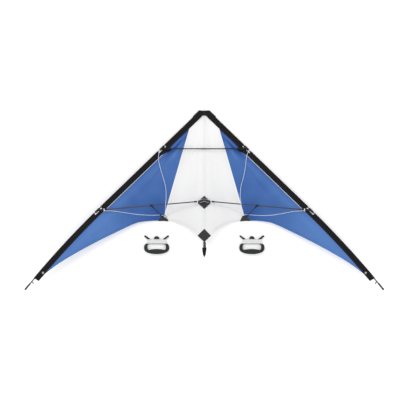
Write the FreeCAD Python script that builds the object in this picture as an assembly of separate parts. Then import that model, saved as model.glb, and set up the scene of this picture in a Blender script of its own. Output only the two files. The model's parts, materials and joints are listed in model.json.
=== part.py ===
"""A two-line delta stunt kite lying on its back, bridle side up, with its two handles beside the tail.

Millimetres.  The kite is built flat in its own frame: x across the span, y along the spine to the
nose, z away from the sail on the bridle side.  lay_down() then tips it onto the floor, where it
rests on its nose and on the two points where the standoffs push the sail back.
"""
import FreeCAD, Part
import math
import os

from FreeCAD import Matrix, Vector

# ---- driving dimensions ------------------------------------------------------------------------

# Frame: the right half, seen from the front.
NOSE_END = Vector(27, 387, 0)            # upper end of the leading-edge rod
EDGE_JOINT = Vector(455, -30, 0)         # where the straight upper rod meets the bent lower rod
TIP_END = Vector(790, -397, 0)           # outer end of the leading-edge rod
ROD_R = 2.5
ROD_BORE_R = 1.5
SPINE_R = 2.75
SPINE_BORE_R = 1.75
SPINE_TOP = 383
SPINE_BOTTOM = -250
SPINE_LEVEL = -5.0                       # the spine runs behind the sail
SPREADER_LEVEL = 8.0                     # spreaders and joiner run in front of it

# Sail.
SLEEVE_R = 4.2
SLEEVE_BORE_R = 2.8
SLEEVE_WIDTH = 22.0                      # from the rod's axis to the sleeve's rear edge
SLEEVE_REAR_HALF = 0.9
SAIL_THICKNESS = 1.0
PATCH_THICKNESS = 1.2
CENTRE_GAP = 0.3                         # each half of the sail starts this far from the spine's plane
STANDOFF_POINT = Vector(183, -94, -45)   # trailing-edge point that the standoff pushes back
SEAM_TOP_X = 62
SAIL_FOOT_Y = -165

# Fittings and spreaders.
UPPER_STATION = 226                      # along the leading edge, from NOSE_END
LOWER_STATION_PAST_JOINT = 30
FITTING_R = 5.4
GRIP_LENGTH = 26
UPPER_SPREADER_Y = 225
UPPER_SPREADER_HALF = 181
UPPER_ARM_INNER_X = 148
CHANNEL_R = 2.6
JOINER_CENTRE = Vector(0, -9, SPREADER_LEVEL)
LOWER_SPREADER_END = Vector(462, -50, SPREADER_LEVEL)
JOINER_HOLE_R = 14.5
ARM_START = 20
ARM_END = 46
ARM_R = 4.5

# Standoffs.
STANDOFF_CLIP_X = 236
STANDOFF_FOOT = Vector(189, -76, -37.2)
STANDOFF_R = 1.5
STANDOFF_CAP_R = 2.4
CLIP_BORE_R = 2.56
CLIP_R = 4.6
CLIP_LENGTH = 11

# Bridle.
CORD_R = 0.9
UPPER_KNOT_STATION = UPPER_STATION + 17  # on the bare rod, just below the upper fitting
LOWER_KNOT_X = 446                       # on the lower fitting's arm
CENTRE_KNOT_X = 30                       # on the joiner's arm
BRIDLE_TOW = {"left": Vector(-176.6, -76.4, -38.0), "right": Vector(177.0, -69.0, -36.3)}
BRIDLE_UPPER = {
    "left": [(-201.0, 217.4, 5.4), (-204, 200, 5.8), (-206, 178, 4.6), (-199, 147, -2.5), (-187, 106, -11),
             (-173, 60, -19), (-170, 14, -13), (-171, -8, 15.5), (-172.6, -40, 15.5), (-175, -56, -15),
             (-176.6, -73, -35.6)],
    "right": [(201.0, 217.4, 5.4), (193, 204, 5.4), (188, 184, 1.6), (185, 150, -4.2), (178, 106, -12),
              (164, 60, -20.6), (160, 14, -14), (162, -7, 15.5), (165, -39, 15.5), (171, -54, -15),
              (176.5, -66, -34)],
}
BRIDLE_LOWER = {
    "left": [(-446, -52.6, 14.3), (-431, -53.5, 9.5), (-411, -52.5, 3.5), (-380, -57, -5), (-345, -64, -12.5),
             (-306, -72, -19.5), (-266, -75.5, -25.6), (-231, -72.5, -31.2), (-204, -69, -35.6),
             (-187, -69.5, -37.2), (-180, -74.5, -38)],
    "right": [(446, -52.6, 14.3), (430, -54, 9), (409, -54, 2.6), (378, -59, -5.6), (343, -68, -13.6),
              (305, -75.5, -20.4), (266, -76.5, -26), (231, -72.5, -31.2), (205, -68.5, -35.4),
              (189, -66.5, -37), (180, -68.6, -36.8)],
}
BRIDLE_CENTRE = {
    "left": [(-30, -18.8, 9.8), (-43, -24, -1), (-63, -31, -12), (-92, -36, -19.4), (-124, -48, -27.2),
             (-153, -62, -34.4), (-174, -75.4, -38.2)],
    "right": [(30, -18.8, 9.8), (43, -23, -1), (64, -27, -12.2), (95, -35, -20), (127, -42, -27.8),
              (153, -55, -34.2), (174.4, -67.8, -36.6)],
}
KNOT_R = 2.6
TOW_KNOT_R = 3.6

# Handles, in a frame centred on the finger opening, lying on the floor.
HANDLE_CENTRE = Vector(214, -223, 0)
HANDLE_THICKNESS = 14
GRIP_THICKNESS = 19
NECK_HALF = 37
NECK_LEVELS = (3.5, 10.5)
WINDING_HALF = 44
WINDING_LEVELS = (0.4, 13.6)
WINDING_Y = (24.6, 42.4)
WINDING_GAP = 0.3

Z = Vector(0, 0, 1)
Y = Vector(0, 1, 0)
X = Vector(1, 0, 0)

# ---- the leading edge's line -------------------------------------------------------------------

TANGENT = (EDGE_JOINT - NOSE_END).normalize()
INWARD = Vector(TANGENT.y, -TANGENT.x, 0)
STRAIGHT_LENGTH = (EDGE_JOINT - NOSE_END).Length
CHORD = TIP_END - EDGE_JOINT
EDGE_R = CHORD.Length ** 2 / (2 * CHORD.dot(INWARD))
EDGE_CENTRE = EDGE_JOINT + INWARD * EDGE_R
ARC_ANGLE = 2 * math.asin(CHORD.Length / (2 * EDGE_R))
EDGE_LENGTH = STRAIGHT_LENGTH + EDGE_R * ARC_ANGLE
LOWER_STATION = STRAIGHT_LENGTH + LOWER_STATION_PAST_JOINT
SLEEVE_END = EDGE_LENGTH - 56
SAIL_TIP_STATION = SLEEVE_END - 44


def turned(vector, angle):
    """A vector turned clockwise about z, as the edge turns towards its tip."""
    c, s = math.cos(angle), math.sin(angle)
    return Vector(c * vector.x + s * vector.y, -s * vector.x + c * vector.y, vector.z)


def edge_frame(station):
    """Point on the rod's axis, tangent and inward normal, at a distance along the edge."""
    if station <= STRAIGHT_LENGTH:
        return NOSE_END + TANGENT * station, TANGENT, INWARD
    angle = (station - STRAIGHT_LENGTH) / EDGE_R
    normal = turned(INWARD, angle)
    return EDGE_CENTRE - normal * EDGE_R, turned(TANGENT, angle), normal


def rear_edge(station):
    point, _, normal = edge_frame(station)
    return point + normal * SLEEVE_WIDTH


def placed(shape, origin, x_axis, y_axis, z_axis):
    """A copy of a shape drawn about the world's origin, moved to a frame of three unit axes."""
    matrix = Matrix(x_axis.x, y_axis.x, z_axis.x, origin.x,
                    x_axis.y, y_axis.y, z_axis.y, origin.y,
                    x_axis.z, y_axis.z, z_axis.z, origin.z)
    copy = shape.copy()
    copy.Placement = FreeCAD.Placement(matrix)
    return copy


def along_edge(profile, start, end):
    """A profile drawn in (inward, up) swept along the edge from one station to another."""
    parts = []
    if start < STRAIGHT_LENGTH:
        point, tangent, normal = edge_frame(start)
        face = placed(profile, point, normal, Z, tangent * -1)
        parts.append(face.extrude(tangent * (min(end, STRAIGHT_LENGTH) - start)))
    if end > STRAIGHT_LENGTH:
        first = max(start, STRAIGHT_LENGTH)
        point, tangent, normal = edge_frame(first)
        face = placed(profile, point, normal, Z, tangent * -1)
        parts.append(face.revolve(EDGE_CENTRE, Z * -1, math.degrees((end - first) / EDGE_R)))
    return joined(parts)


# ---- shapes ------------------------------------------------------------------------------------

def joined(parts):
    whole = parts[0]
    if len(parts) > 1:
        whole = whole.multiFuse(parts[1:]).removeSplitter()
    return whole


def rod(start, end, radius):
    """A round bar between two points."""
    return Part.makeCylinder(radius, (end - start).Length, start, end - start)


def tube(start, end, radius, bore):
    return rod(start, end, radius).cut(rod(start, end, bore))


def ring(centre, axis, radius, thickness):
    """A cord's loop: a torus about an axis."""
    return Part.makeTorus(radius, thickness, centre, axis)


def face_of(points):
    return Part.Face(Part.makePolygon(points + [points[0]]))


def prism(face, low, high):
    """A flat outline drawn at z = 0, made solid between two levels."""
    copy = face.copy()
    copy.translate(Z * low)
    return copy.extrude(Z * (high - low))


def annulus(outer, inner):
    ring_face = Part.Face(Part.Wire(Part.makeCircle(outer)))
    return ring_face.cut(Part.Face(Part.Wire(Part.makeCircle(inner))))


def cord(points, radius):
    """A cord along straight runs joined by tangent arcs as large as the runs allow."""
    at = [Vector(*p) for p in points]
    edges, cursor, radii = [], at[0], []
    for before, here, after in zip(at, at[1:], at[2:]):
        back, ahead = (before - here), (after - here)
        shorter = min(back.Length, ahead.Length)
        back.normalize()
        ahead.normalize()
        turn = math.pi - back.getAngle(ahead)
        bend_radius = 0.45 * shorter / math.tan(turn / 2)
        radii.append(bend_radius)
        first, last = here + back * 0.45 * shorter, here + ahead * 0.45 * shorter
        bisector = (back + ahead).normalize()
        middle = here + bisector * (bend_radius / math.cos(turn / 2) - bend_radius)
        edges.append(Part.LineSegment(cursor, first).toShape())
        edges.append(Part.Arc(first, middle, last).toShape())
        cursor = last
    edges.append(Part.LineSegment(cursor, at[-1]).toShape())
    path = Part.Wire(edges)
    section = Part.Wire(Part.makeCircle(radius, at[0], at[1] - at[0]))
    solid = path.makePipeShell([section], True, False)
    ideal = math.pi * radius ** 2 * path.Length
    print(f"  cord {path.Length:.0f} mm, smallest radius {min(radii):.0f} mm, "
          f"volume {solid.Volume / ideal:.3f} of section x length")
    return solid


# ---- the sail's surface: four flat facets a side, meeting at the standoff's point -----------------

SAIL_NOSE = Vector(0, rear_edge(0).y + rear_edge(0).x * -TANGENT.y / TANGENT.x, 0)
SEAM_TOP = rear_edge((SEAM_TOP_X - rear_edge(0).x) / TANGENT.x)
SAIL_CORNER = rear_edge(STRAIGHT_LENGTH)
SAIL_TIP = rear_edge(SAIL_TIP_STATION)


def height_on(a, b, c):
    """Height over the plan of the plane through three points."""
    normal = (b - a).cross(c - a)
    return lambda x, y: a.z - (normal.x * (x - a.x) + normal.y * (y - a.y)) / normal.z


def facets():
    """Each facet as a flat polygon.  The two along the trailing edge run on past the cloth."""
    foot = SAIL_FOOT_Y - 60
    point = STANDOFF_POINT
    inner = [SAIL_NOSE, point, Vector(point.x, foot, point.z), Vector(0, foot, 0)]
    outer_height = height_on(SAIL_CORNER, SAIL_TIP, point)
    margin = 8
    outer = [point, Vector(point.x, foot, outer_height(point.x, foot))]
    for corner in (SAIL_TIP + (SAIL_TIP - SAIL_CORNER) * 0.2, SAIL_CORNER):
        x, y = corner.x + margin, corner.y + margin
        outer.append(Vector(x, y, outer_height(x, y)))
    outer.append(SAIL_CORNER)
    return [inner, [SAIL_NOSE, SEAM_TOP, point], [SEAM_TOP, SAIL_CORNER, point], outer]


def sail_layer(outline, low, high):
    """Cloth over an outline, between two heights above the sail's front surface."""
    column = prism(outline, STANDOFF_POINT.z * 1.5, 40)
    sheets = []
    for corners in facets():
        sheet = face_of([corner + Z * low for corner in corners]).extrude(Z * (high - low))
        piece = sheet.common(column)
        if piece.Volume > 1:
            sheets.append(piece)
    return joined(sheets)


def arc(start, middle, end):
    return Part.Arc(start, middle, end).toShape()


def line(start, end):
    return Part.LineSegment(start, end).toShape()


def flat(x, y):
    return Vector(x, y, 0)


TRAILING_CORNER = flat(STANDOFF_POINT.x, STANDOFF_POINT.y)
WHITE_EDGE = [flat(161, -96), flat(101, -115), flat(51, -146), flat(22, SAIL_FOOT_Y)]
BLUE_EDGE = [flat(290, -102), flat(354, -128), flat(543, -225)]


def joiner_hole():
    return Part.makeCylinder(JOINER_HOLE_R, 100, Vector(0, JOINER_CENTRE.y, -60))


def white_panel():
    top = flat(CENTRE_GAP, SAIL_NOSE.y)
    bottom = flat(CENTRE_GAP, SAIL_FOOT_Y)
    high, middle, low, foot = WHITE_EDGE
    edges = [line(top, SEAM_TOP), line(SEAM_TOP, TRAILING_CORNER), line(TRAILING_CORNER, high),
             arc(high, middle, low), line(low, foot), line(foot, bottom), line(bottom, top)]
    return sail_layer(Part.Face(Part.Wire(edges)), -SAIL_THICKNESS, 0).cut(joiner_hole())


def blue_panel():
    near, bend, far = BLUE_EDGE
    half_way = (STRAIGHT_LENGTH + SAIL_TIP_STATION) / 2
    edges = [line(SEAM_TOP, SAIL_CORNER), arc(SAIL_CORNER, rear_edge(half_way), SAIL_TIP),
             arc(SAIL_TIP, far, bend), arc(bend, near, TRAILING_CORNER), line(TRAILING_CORNER, SEAM_TOP)]
    return sail_layer(Part.Face(Part.Wire(edges)), -SAIL_THICKNESS, 0)


def diamond_half(centre_y, half_width, half_height):
    return face_of([flat(CENTRE_GAP, centre_y + half_height), flat(half_width, centre_y),
                    flat(CENTRE_GAP, centre_y - half_height)])


def center_patch():
    return sail_layer(diamond_half(-15, 32, 30), 0, PATCH_THICKNESS).cut(joiner_hole())


def tail_patch():
    """Folded over the sail's foot: a front layer, and a back layer clear of the spine."""
    outline = diamond_half(-163, 30, 30)
    front = sail_layer(outline, -SAIL_THICKNESS, PATCH_THICKNESS)
    back = sail_layer(outline, -SAIL_THICKNESS - PATCH_THICKNESS, 0)
    clear_of_spine = Part.makeBox(60, 100, 40, Vector(7, -220, -25))
    return front.fuse(back.common(clear_of_spine)).cut(white_panel()).removeSplitter()


def te_patch():
    outline = face_of([flat(163, -71), flat(199, -71), flat(196, -97.5), flat(158, -97.5)])
    both = sail_layer(outline, -SAIL_THICKNESS - PATCH_THICKNESS, PATCH_THICKNESS)
    return both.cut(white_panel()).cut(blue_panel())


# ---- leading edge --------------------------------------------------------------------------------

def le_sleeve():
    """Folded tape round the rod, drawn in to a flat rear edge, open round each fitting."""
    tail = Vector(SLEEVE_WIDTH, SLEEVE_REAR_HALF, 0)
    lean = math.asin((SLEEVE_R - SLEEVE_REAR_HALF) / SLEEVE_WIDTH)
    touch = Vector(SLEEVE_R * math.sin(lean), SLEEVE_R * math.cos(lean), 0)

    def down(point):
        return Vector(point.x, -point.y, 0)

    edges = [line(touch, tail), line(tail, down(tail)), line(down(tail), down(touch)),
             arc(down(touch), Vector(-SLEEVE_R, 0, 0), touch)]
    profile = Part.Face(Part.Wire(edges)).cut(Part.Face(Part.Wire(Part.makeCircle(SLEEVE_BORE_R))))
    sleeve = along_edge(profile, 0, SLEEVE_END)
    for station, half in ((UPPER_STATION + 4, 22), (LOWER_STATION, 21)):
        point, tangent, normal = edge_frame(station)
        window = Part.makeBox(18, 40, 2 * half, Vector(-10, -20, -half))
        sleeve = sleeve.cut(placed(window, point, normal, Z, tangent * -1))
    return sleeve.cut(eyelet_column(3.0))


def eyelet_column(radius):
    point, _, normal = edge_frame(SLEEVE_END - 44)
    centre = point + normal * 13
    return Part.makeCylinder(radius, 40, centre - Z * 20)


def tip_eyelet():
    centre = eyelet_column(3.0).BoundBox.Center
    barrel = Part.makeCylinder(2.95, 6.6, centre - Z * 3.3)
    flanges = [Part.makeCylinder(4.2, 0.6, centre + Z * level) for level in (3.0, -3.6)]
    return joined([barrel] + flanges).cut(Part.makeCylinder(1.8, 10, centre - Z * 5))


def nose_webbing():
    """Half of the folded tape that closes the nose: front and back layers and a folded top edge."""
    reach = 40
    outer_top = flat(23, 398)
    outer_low = outer_top + TANGENT * reach
    inner_low = outer_low + INWARD * 28
    outline = [flat(CENTRE_GAP, 398), outer_top, outer_low, inner_low, flat(7, 376), flat(CENTRE_GAP, 376)]
    front = prism(face_of(outline), SLEEVE_R + 0.3, SLEEVE_R + 1.8)
    back_outline = face_of([flat(12, 398), outer_top, outer_low, inner_low, flat(12, 371)])
    back = prism(back_outline, -SLEEVE_R - 1.8, -SLEEVE_R - 0.3)
    fold = INWARD * 0.8
    fold_band = face_of([flat(12, 397.2), flat(12, 398), outer_top, outer_low,
                         outer_low + fold, outer_top + fold + flat(0, -0.2)])
    return joined([front, back, prism(fold_band, -SLEEVE_R - 1.8, SLEEVE_R + 1.8)])


def tip_nock():
    point, tangent, _ = edge_frame(EDGE_LENGTH)
    start, end = point - tangent * 28, point + tangent * 10
    cap = rod(start, end - tangent * 4, 4.0).fuse(Part.makeSphere(4.0, end - tangent * 4))
    groove = ring(end - tangent * 7, tangent, 4.6, 1.3)
    return cap.cut(groove).cut(rod(start, point, ROD_R)).removeSplitter()


def tip_tension_cord():
    """A loop from the sleeve's end over the nock's groove, knotted in front of the rod."""
    tip, tangent, _ = edge_frame(EDGE_LENGTH)
    end = tip + tangent * 3
    start, _, _ = edge_frame(SLEEVE_END)
    strands = [rod(start + Z * 5.4 * side, end + Z * 5.0 * side, 1.1) for side in (1, -1)]
    knot_at = edge_frame(EDGE_LENGTH - 44)[0] + Z * 5.6
    knot = Part.makeSphere(2.8, knot_at)
    tails = rod(knot_at, knot_at + edge_frame(EDGE_LENGTH)[2] * 13 + Z * 0.5, 1.1)
    return joined(strands + [ring(end, tangent, 5.0, 1.1), knot, tails])


# ---- fittings and spreaders ------------------------------------------------------------------------

def grip(station):
    """The tube of a fitting that grips the leading-edge rod."""
    point, tangent, _ = edge_frame(station)
    half = tangent * (GRIP_LENGTH / 2)
    return rod(point - half, point + half, FITTING_R), rod(point - half, point + half, ROD_R)


def upper_fitting():
    """Its arm is an open-fronted channel, so the spreader snaps in from the front."""
    body, bore = grip(UPPER_STATION)
    outer_x = 190
    arm = prism(face_of([flat(UPPER_ARM_INNER_X, UPPER_SPREADER_Y - 3.9), flat(outer_x, UPPER_SPREADER_Y - 5.4),
                         flat(outer_x, UPPER_SPREADER_Y + 5.4), flat(UPPER_ARM_INNER_X, UPPER_SPREADER_Y + 3.9)]),
                3.8, SPREADER_LEVEL + CHANNEL_R)
    low = Vector(UPPER_ARM_INNER_X - 5, UPPER_SPREADER_Y, SPREADER_LEVEL)
    wall, above = Y * CHANNEL_R, Z * 10
    channel = Part.Face(Part.Wire([arc(low - wall, low - Z * CHANNEL_R, low + wall),
                                   line(low + wall, low + wall + above),
                                   line(low + wall + above, low - wall + above),
                                   line(low - wall + above, low - wall)]))
    channel_length = UPPER_SPREADER_HALF + 2 - low.x
    return joined([body, arm]).cut(channel.extrude(X * channel_length)).cut(bore)


SPREADER_AXIS = (LOWER_SPREADER_END - JOINER_CENTRE).normalize()


def lower_fitting():
    body, bore = grip(LOWER_STATION)
    outer = LOWER_SPREADER_END + SPREADER_AXIS * 12
    inner = LOWER_SPREADER_END - SPREADER_AXIS * 28
    arm = rod(inner, outer, ARM_R + 0.1)
    socket = rod(inner, LOWER_SPREADER_END, ROD_R)
    return joined([body, arm, Part.makeSphere(ARM_R + 0.1, outer)]).cut(bore).cut(socket)


def on_spreader(x):
    """Point on the lower spreader's axis at a distance from the spine."""
    return JOINER_CENTRE + SPREADER_AXIS * (x / SPREADER_AXIS.x)


def joiner_hub():
    """Grips the spine behind the sail and holds the flexible cross tube in front of it."""
    spine_at = Vector(0, JOINER_CENTRE.y, SPINE_LEVEL)
    spine_grip = rod(spine_at - Y * 12, spine_at + Y * 12, 5.2)
    stem = Part.makeBox(9, 10, SPREADER_LEVEL - SPINE_LEVEL, spine_at - X * 4.5 - Y * 5)
    cross = rod(JOINER_CENTRE - X * 10, JOINER_CENTRE + X * 10, 5.2)
    spine_bore = rod(spine_at - Y * 12, spine_at + Y * 12, SPINE_R)
    return joined([spine_grip, stem, cross]).cut(spine_bore)


# ---- standoffs ---------------------------------------------------------------------------------------

CLIP_CENTRE = on_spreader(STANDOFF_CLIP_X)
STANDOFF_AXIS = (STANDOFF_FOOT - CLIP_CENTRE).normalize()


def standoff_clip():
    half = SPREADER_AXIS * (CLIP_LENGTH / 2)
    barrel = rod(CLIP_CENTRE - half, CLIP_CENTRE + half, CLIP_R)
    socket = rod(CLIP_CENTRE + STANDOFF_AXIS * 2, CLIP_CENTRE + STANDOFF_AXIS * 18, 2.9)
    rod_hole = rod(CLIP_CENTRE + STANDOFF_AXIS * 7, CLIP_CENTRE + STANDOFF_AXIS * 18, STANDOFF_R)
    bore = rod(CLIP_CENTRE - half * 2, CLIP_CENTRE + half * 2, CLIP_BORE_R)
    return joined([barrel, socket]).cut(rod_hole).cut(bore)


def standoff_rod():
    return rod(CLIP_CENTRE + STANDOFF_AXIS * 7, STANDOFF_FOOT - STANDOFF_AXIS * 1, STANDOFF_R)


def standoff_foot():
    start = STANDOFF_FOOT - STANDOFF_AXIS * 13
    cap = rod(start, STANDOFF_FOOT, STANDOFF_CAP_R).fuse(Part.makeSphere(STANDOFF_CAP_R, STANDOFF_FOOT))
    return cap.cut(standoff_rod()).removeSplitter()


# ---- bridle --------------------------------------------------------------------------------------------

def bridle_knots(side):
    """Loops round the rod, the lower fitting's arm and the joiner's arm, each with its knot."""
    sign = -1 if side == "left" else 1
    rod_point, tangent, _ = edge_frame(UPPER_KNOT_STATION)
    loops = [ring(rod_point, tangent, ROD_R + CORD_R, CORD_R),
             ring(on_spreader(LOWER_KNOT_X), SPREADER_AXIS, ARM_R + 0.1 + CORD_R, CORD_R),
             ring(on_spreader(CENTRE_KNOT_X), SPREADER_AXIS, ARM_R + CORD_R, CORD_R)]
    knots = []
    for loop, route in zip(loops, (BRIDLE_UPPER, BRIDLE_LOWER, BRIDLE_CENTRE)):
        if sign < 0:
            loop = mirrored(loop)
        knots.append(loop.fuse(Part.makeSphere(KNOT_R, Vector(*route[side][0]))))
    return Part.Compound(knots)


def tow_knot(side):
    """The knot where the three legs meet, with its pigtail for the flying line."""
    sign = -1 if side == "left" else 1
    centre = BRIDLE_TOW[side]
    pigtail = rod(centre, centre + Vector(sign * -9, -7, 1.2), 1.3)
    return joined([Part.makeSphere(TOW_KNOT_R, centre), pigtail, Part.makeSphere(2.2, pigtail_end(centre, sign))])


def pigtail_end(centre, sign):
    return centre + Vector(sign * -9, -7, 1.2)


# ---- spine ---------------------------------------------------------------------------------------------

def on_spine(y):
    return Vector(0, y, SPINE_LEVEL)


def spine_nose_cap():
    cap = rod(on_spine(SPINE_TOP - 10), on_spine(SPINE_TOP + 5), 3.7)
    return cap.cut(rod(on_spine(SPINE_TOP - 10), on_spine(SPINE_TOP), SPINE_R))


def spine_tail_cap():
    cap = rod(on_spine(SPINE_BOTTOM - 5), on_spine(SPINE_BOTTOM + 22), 4.6)
    tip = Part.makeCone(4.6, 2.8, 4, on_spine(SPINE_BOTTOM - 5), Y * -1)
    return joined([cap, tip]).cut(rod(on_spine(SPINE_BOTTOM), on_spine(SPINE_BOTTOM + 22), SPINE_R))


def tail_strap():
    """Webbing loop round the spine's end, holding the sail's foot down to it."""
    outer = Part.makeBox(13, 33, 8.4, on_spine(SPINE_BOTTOM + 22.5) - X * 6.5 - Z * 4.2)
    inner = Part.makeBox(10, 33, 5.8, on_spine(SPINE_BOTTOM + 22.5) - X * 5 - Z * 2.9)
    return outer.cut(inner)


# ---- handles ---------------------------------------------------------------------------------------------

def mirrored(shape):
    return shape.mirror(Vector(0, 0, 0), X)


def symmetric_face(edges):
    """A closed outline from its right half, which starts and ends on the centre line."""
    wire = Part.Wire(edges)
    return Part.Face(Part.Wire(Part.__sortEdges__(wire.Edges + mirrored(wire).Edges)))


def handle_frame():
    """A closed ring with a thick grip bar, a neck for the line, two horns and a nub between them."""
    outline = symmetric_face([line(flat(0, 24), flat(45, 24)), arc(flat(45, 24), flat(57.2, 3), flat(42, -17)),
                              arc(flat(42, -17), flat(22, -22.4), flat(0, -24))])
    opening = symmetric_face([line(flat(0, 20.5), flat(33, 20.5)), arc(flat(33, 20.5), flat(41, 7), flat(35, -5.5)),
                              arc(flat(35, -5.5), flat(18, -2.6), flat(0, -1.5))])
    bar = symmetric_face([arc(flat(0, -24), flat(22, -22.4), flat(38, -18.2)), line(flat(38, -18.2), flat(36, -5.2)),
                          arc(flat(36, -5.2), flat(18, -2.6), flat(0, -1.5))])
    ring_part = prism(outline, 0, HANDLE_THICKNESS).cut(prism(opening, -5, 40))
    grip_bar = prism(bar, 0, GRIP_THICKNESS)
    grip_bar = grip_bar.makeFillet(2.5, [e for e in grip_bar.Edges if e.BoundBox.ZMin > GRIP_THICKNESS - 0.1])
    neck = Part.makeBox(2 * NECK_HALF, 25, NECK_LEVELS[1] - NECK_LEVELS[0], Vector(-NECK_HALF, 20, NECK_LEVELS[0]))
    nub = prism(face_of([flat(-12.5, 43), flat(12.5, 43), flat(10, 56), flat(-10, 56)]), 0, HANDLE_THICKNESS)
    horn = prism(face_of([flat(30, 43), flat(42, 43), flat(59, 53), flat(55, 59), flat(49, 58)]), 0, HANDLE_THICKNESS)
    return joined([ring_part, grip_bar, neck, nub, horn, mirrored(horn)])


def line_winding():
    """Flying line wound round the neck: the outer shape of all its turns, closed round the neck."""
    height = WINDING_LEVELS[1] - WINDING_LEVELS[0]
    outer = Part.makeBox(2 * WINDING_HALF, WINDING_Y[1] - WINDING_Y[0], height,
                         Vector(-WINDING_HALF, WINDING_Y[0], WINDING_LEVELS[0]))
    outer = outer.makeFillet(5.5, [e for e in outer.Edges if abs(e.tangentAt(e.FirstParameter).y) > 0.9])
    hole_low = NECK_LEVELS[0] - WINDING_GAP
    hole_high = NECK_LEVELS[1] + WINDING_GAP
    hole_half = NECK_HALF + WINDING_GAP
    return outer.cut(Part.makeBox(2 * hole_half, 60, hole_high - hole_low, Vector(-hole_half, 0, hole_low)))


# ---- the whole object ------------------------------------------------------------------------------------

def wing_pieces():
    """The right wing's pieces that the left wing mirrors."""
    ferrule_half = TANGENT * 30
    return {
        "le_upper_rod": along_edge(annulus(ROD_R, ROD_BORE_R), 0, STRAIGHT_LENGTH),
        "le_lower_rod": along_edge(annulus(ROD_R, ROD_BORE_R), STRAIGHT_LENGTH, EDGE_LENGTH),
        "le_ferrule": rod(EDGE_JOINT - ferrule_half, EDGE_JOINT + ferrule_half, ROD_BORE_R - 0.12),
        "le_sleeve": le_sleeve(),
        "nose_webbing": nose_webbing(),
        "upper_fitting": upper_fitting(),
        "lower_fitting": lower_fitting(),
        "lower_spreader": tube(on_spreader(ARM_START + 4), LOWER_SPREADER_END, ROD_R, ROD_BORE_R),
        "joiner_arm": tube(on_spreader(ARM_START), on_spreader(ARM_END), ARM_R, ROD_R),
        "white_panel": white_panel(),
        "blue_panel": blue_panel(),
        "center_patch": center_patch(),
        "tail_patch": tail_patch(),
        "te_patch": te_patch(),
        "tip_nock": tip_nock(),
        "tip_tension_cord": tip_tension_cord(),
        "tip_eyelet": tip_eyelet(),
        "standoff_clip": standoff_clip(),
        "standoff_rod": standoff_rod(),
        "standoff_foot": standoff_foot(),
    }


def kite_pieces():
    pieces = {}
    for name, shape in wing_pieces().items():
        pieces["right_" + name] = shape
        pieces["left_" + name] = mirrored(shape)
    for side in ("left", "right"):
        pieces[side + "_bridle_upper_leg"] = cord(BRIDLE_UPPER[side], CORD_R)
        pieces[side + "_bridle_lower_leg"] = cord(BRIDLE_LOWER[side], CORD_R)
        pieces[side + "_bridle_center_leg"] = cord(BRIDLE_CENTRE[side], CORD_R)
        pieces[side + "_bridle_knots"] = bridle_knots(side)
        pieces[side + "_tow_knot"] = tow_knot(side)
    pieces["upper_spreader"] = tube(Vector(-UPPER_SPREADER_HALF, UPPER_SPREADER_Y, SPREADER_LEVEL),
                                    Vector(UPPER_SPREADER_HALF, UPPER_SPREADER_Y, SPREADER_LEVEL),
                                    ROD_R, ROD_BORE_R)
    pieces["spine_rod"] = tube(on_spine(SPINE_BOTTOM), on_spine(SPINE_TOP), SPINE_R, SPINE_BORE_R)
    pieces["spine_nose_cap"] = spine_nose_cap()
    pieces["spine_tail_cap"] = spine_tail_cap()
    pieces["tail_strap"] = tail_strap()
    pieces["joiner_hub"] = joiner_hub()
    return pieces


# The kite leans from its nose cap's underside back to the standoff points' patches.
NOSE_REST = Vector(0, SPINE_TOP + 5, SPINE_LEVEL - 3.7)
PATCH_REST = STANDOFF_POINT - Z * (SAIL_THICKNESS + PATCH_THICKNESS)
TILT = math.atan((NOSE_REST.z - PATCH_REST.z) / (NOSE_REST.y - PATCH_REST.y))


def lay_down(shape):
    """Tip the flat kite nose down about the span, so that it lies on the floor at z = 0."""
    laid = shape.copy()
    laid.rotate(Vector(0, 0, 0), X, math.degrees(-TILT))
    laid.translate(Z * -(NOSE_REST.z * math.cos(TILT) - NOSE_REST.y * math.sin(TILT)))
    return laid


def assembly():
    pieces = {name: lay_down(shape) for name, shape in kite_pieces().items()}
    box = Part.Compound([shape for name, shape in pieces.items() if "bridle" not in name]).optimalBoundingBox()
    to_origin = Vector(0, -(box.YMin + box.YMax) / 2, 0)
    for shape in pieces.values():
        shape.translate(to_origin)
    for side, sign in (("left", -1), ("right", 1)):
        place = Vector(sign * HANDLE_CENTRE.x, HANDLE_CENTRE.y, 0) + to_origin
        for name, shape in (("handle_frame", handle_frame()), ("line_winding", line_winding())):
            shape.translate(place)
            pieces[f"{side}_{name}"] = shape
    return pieces, to_origin


def main():
    os.makedirs("parts", exist_ok=True)
    pieces, to_origin = assembly()
    for name, shape in pieces.items():
        shape.exportStep(f"parts/{name}.step")
    print(f"{len(pieces)} pieces, tilt {math.degrees(TILT):.3f} degrees, shift {to_origin.y:.3f} mm")


main()
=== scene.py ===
"""The looks of a two-line stunt kite and its two handles.

Pieces of the kite are drawn flat, in millimetres, in the kite's own frame: x across the span, y along
the spine to the nose, z off the sail on the bridle side.  settle() then lays them on the floor.
"""
import json
import math
import random

import bmesh
import bpy
from mathutils import Matrix, Vector, noise
from mathutils.geometry import delaunay_2d_cdt


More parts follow.
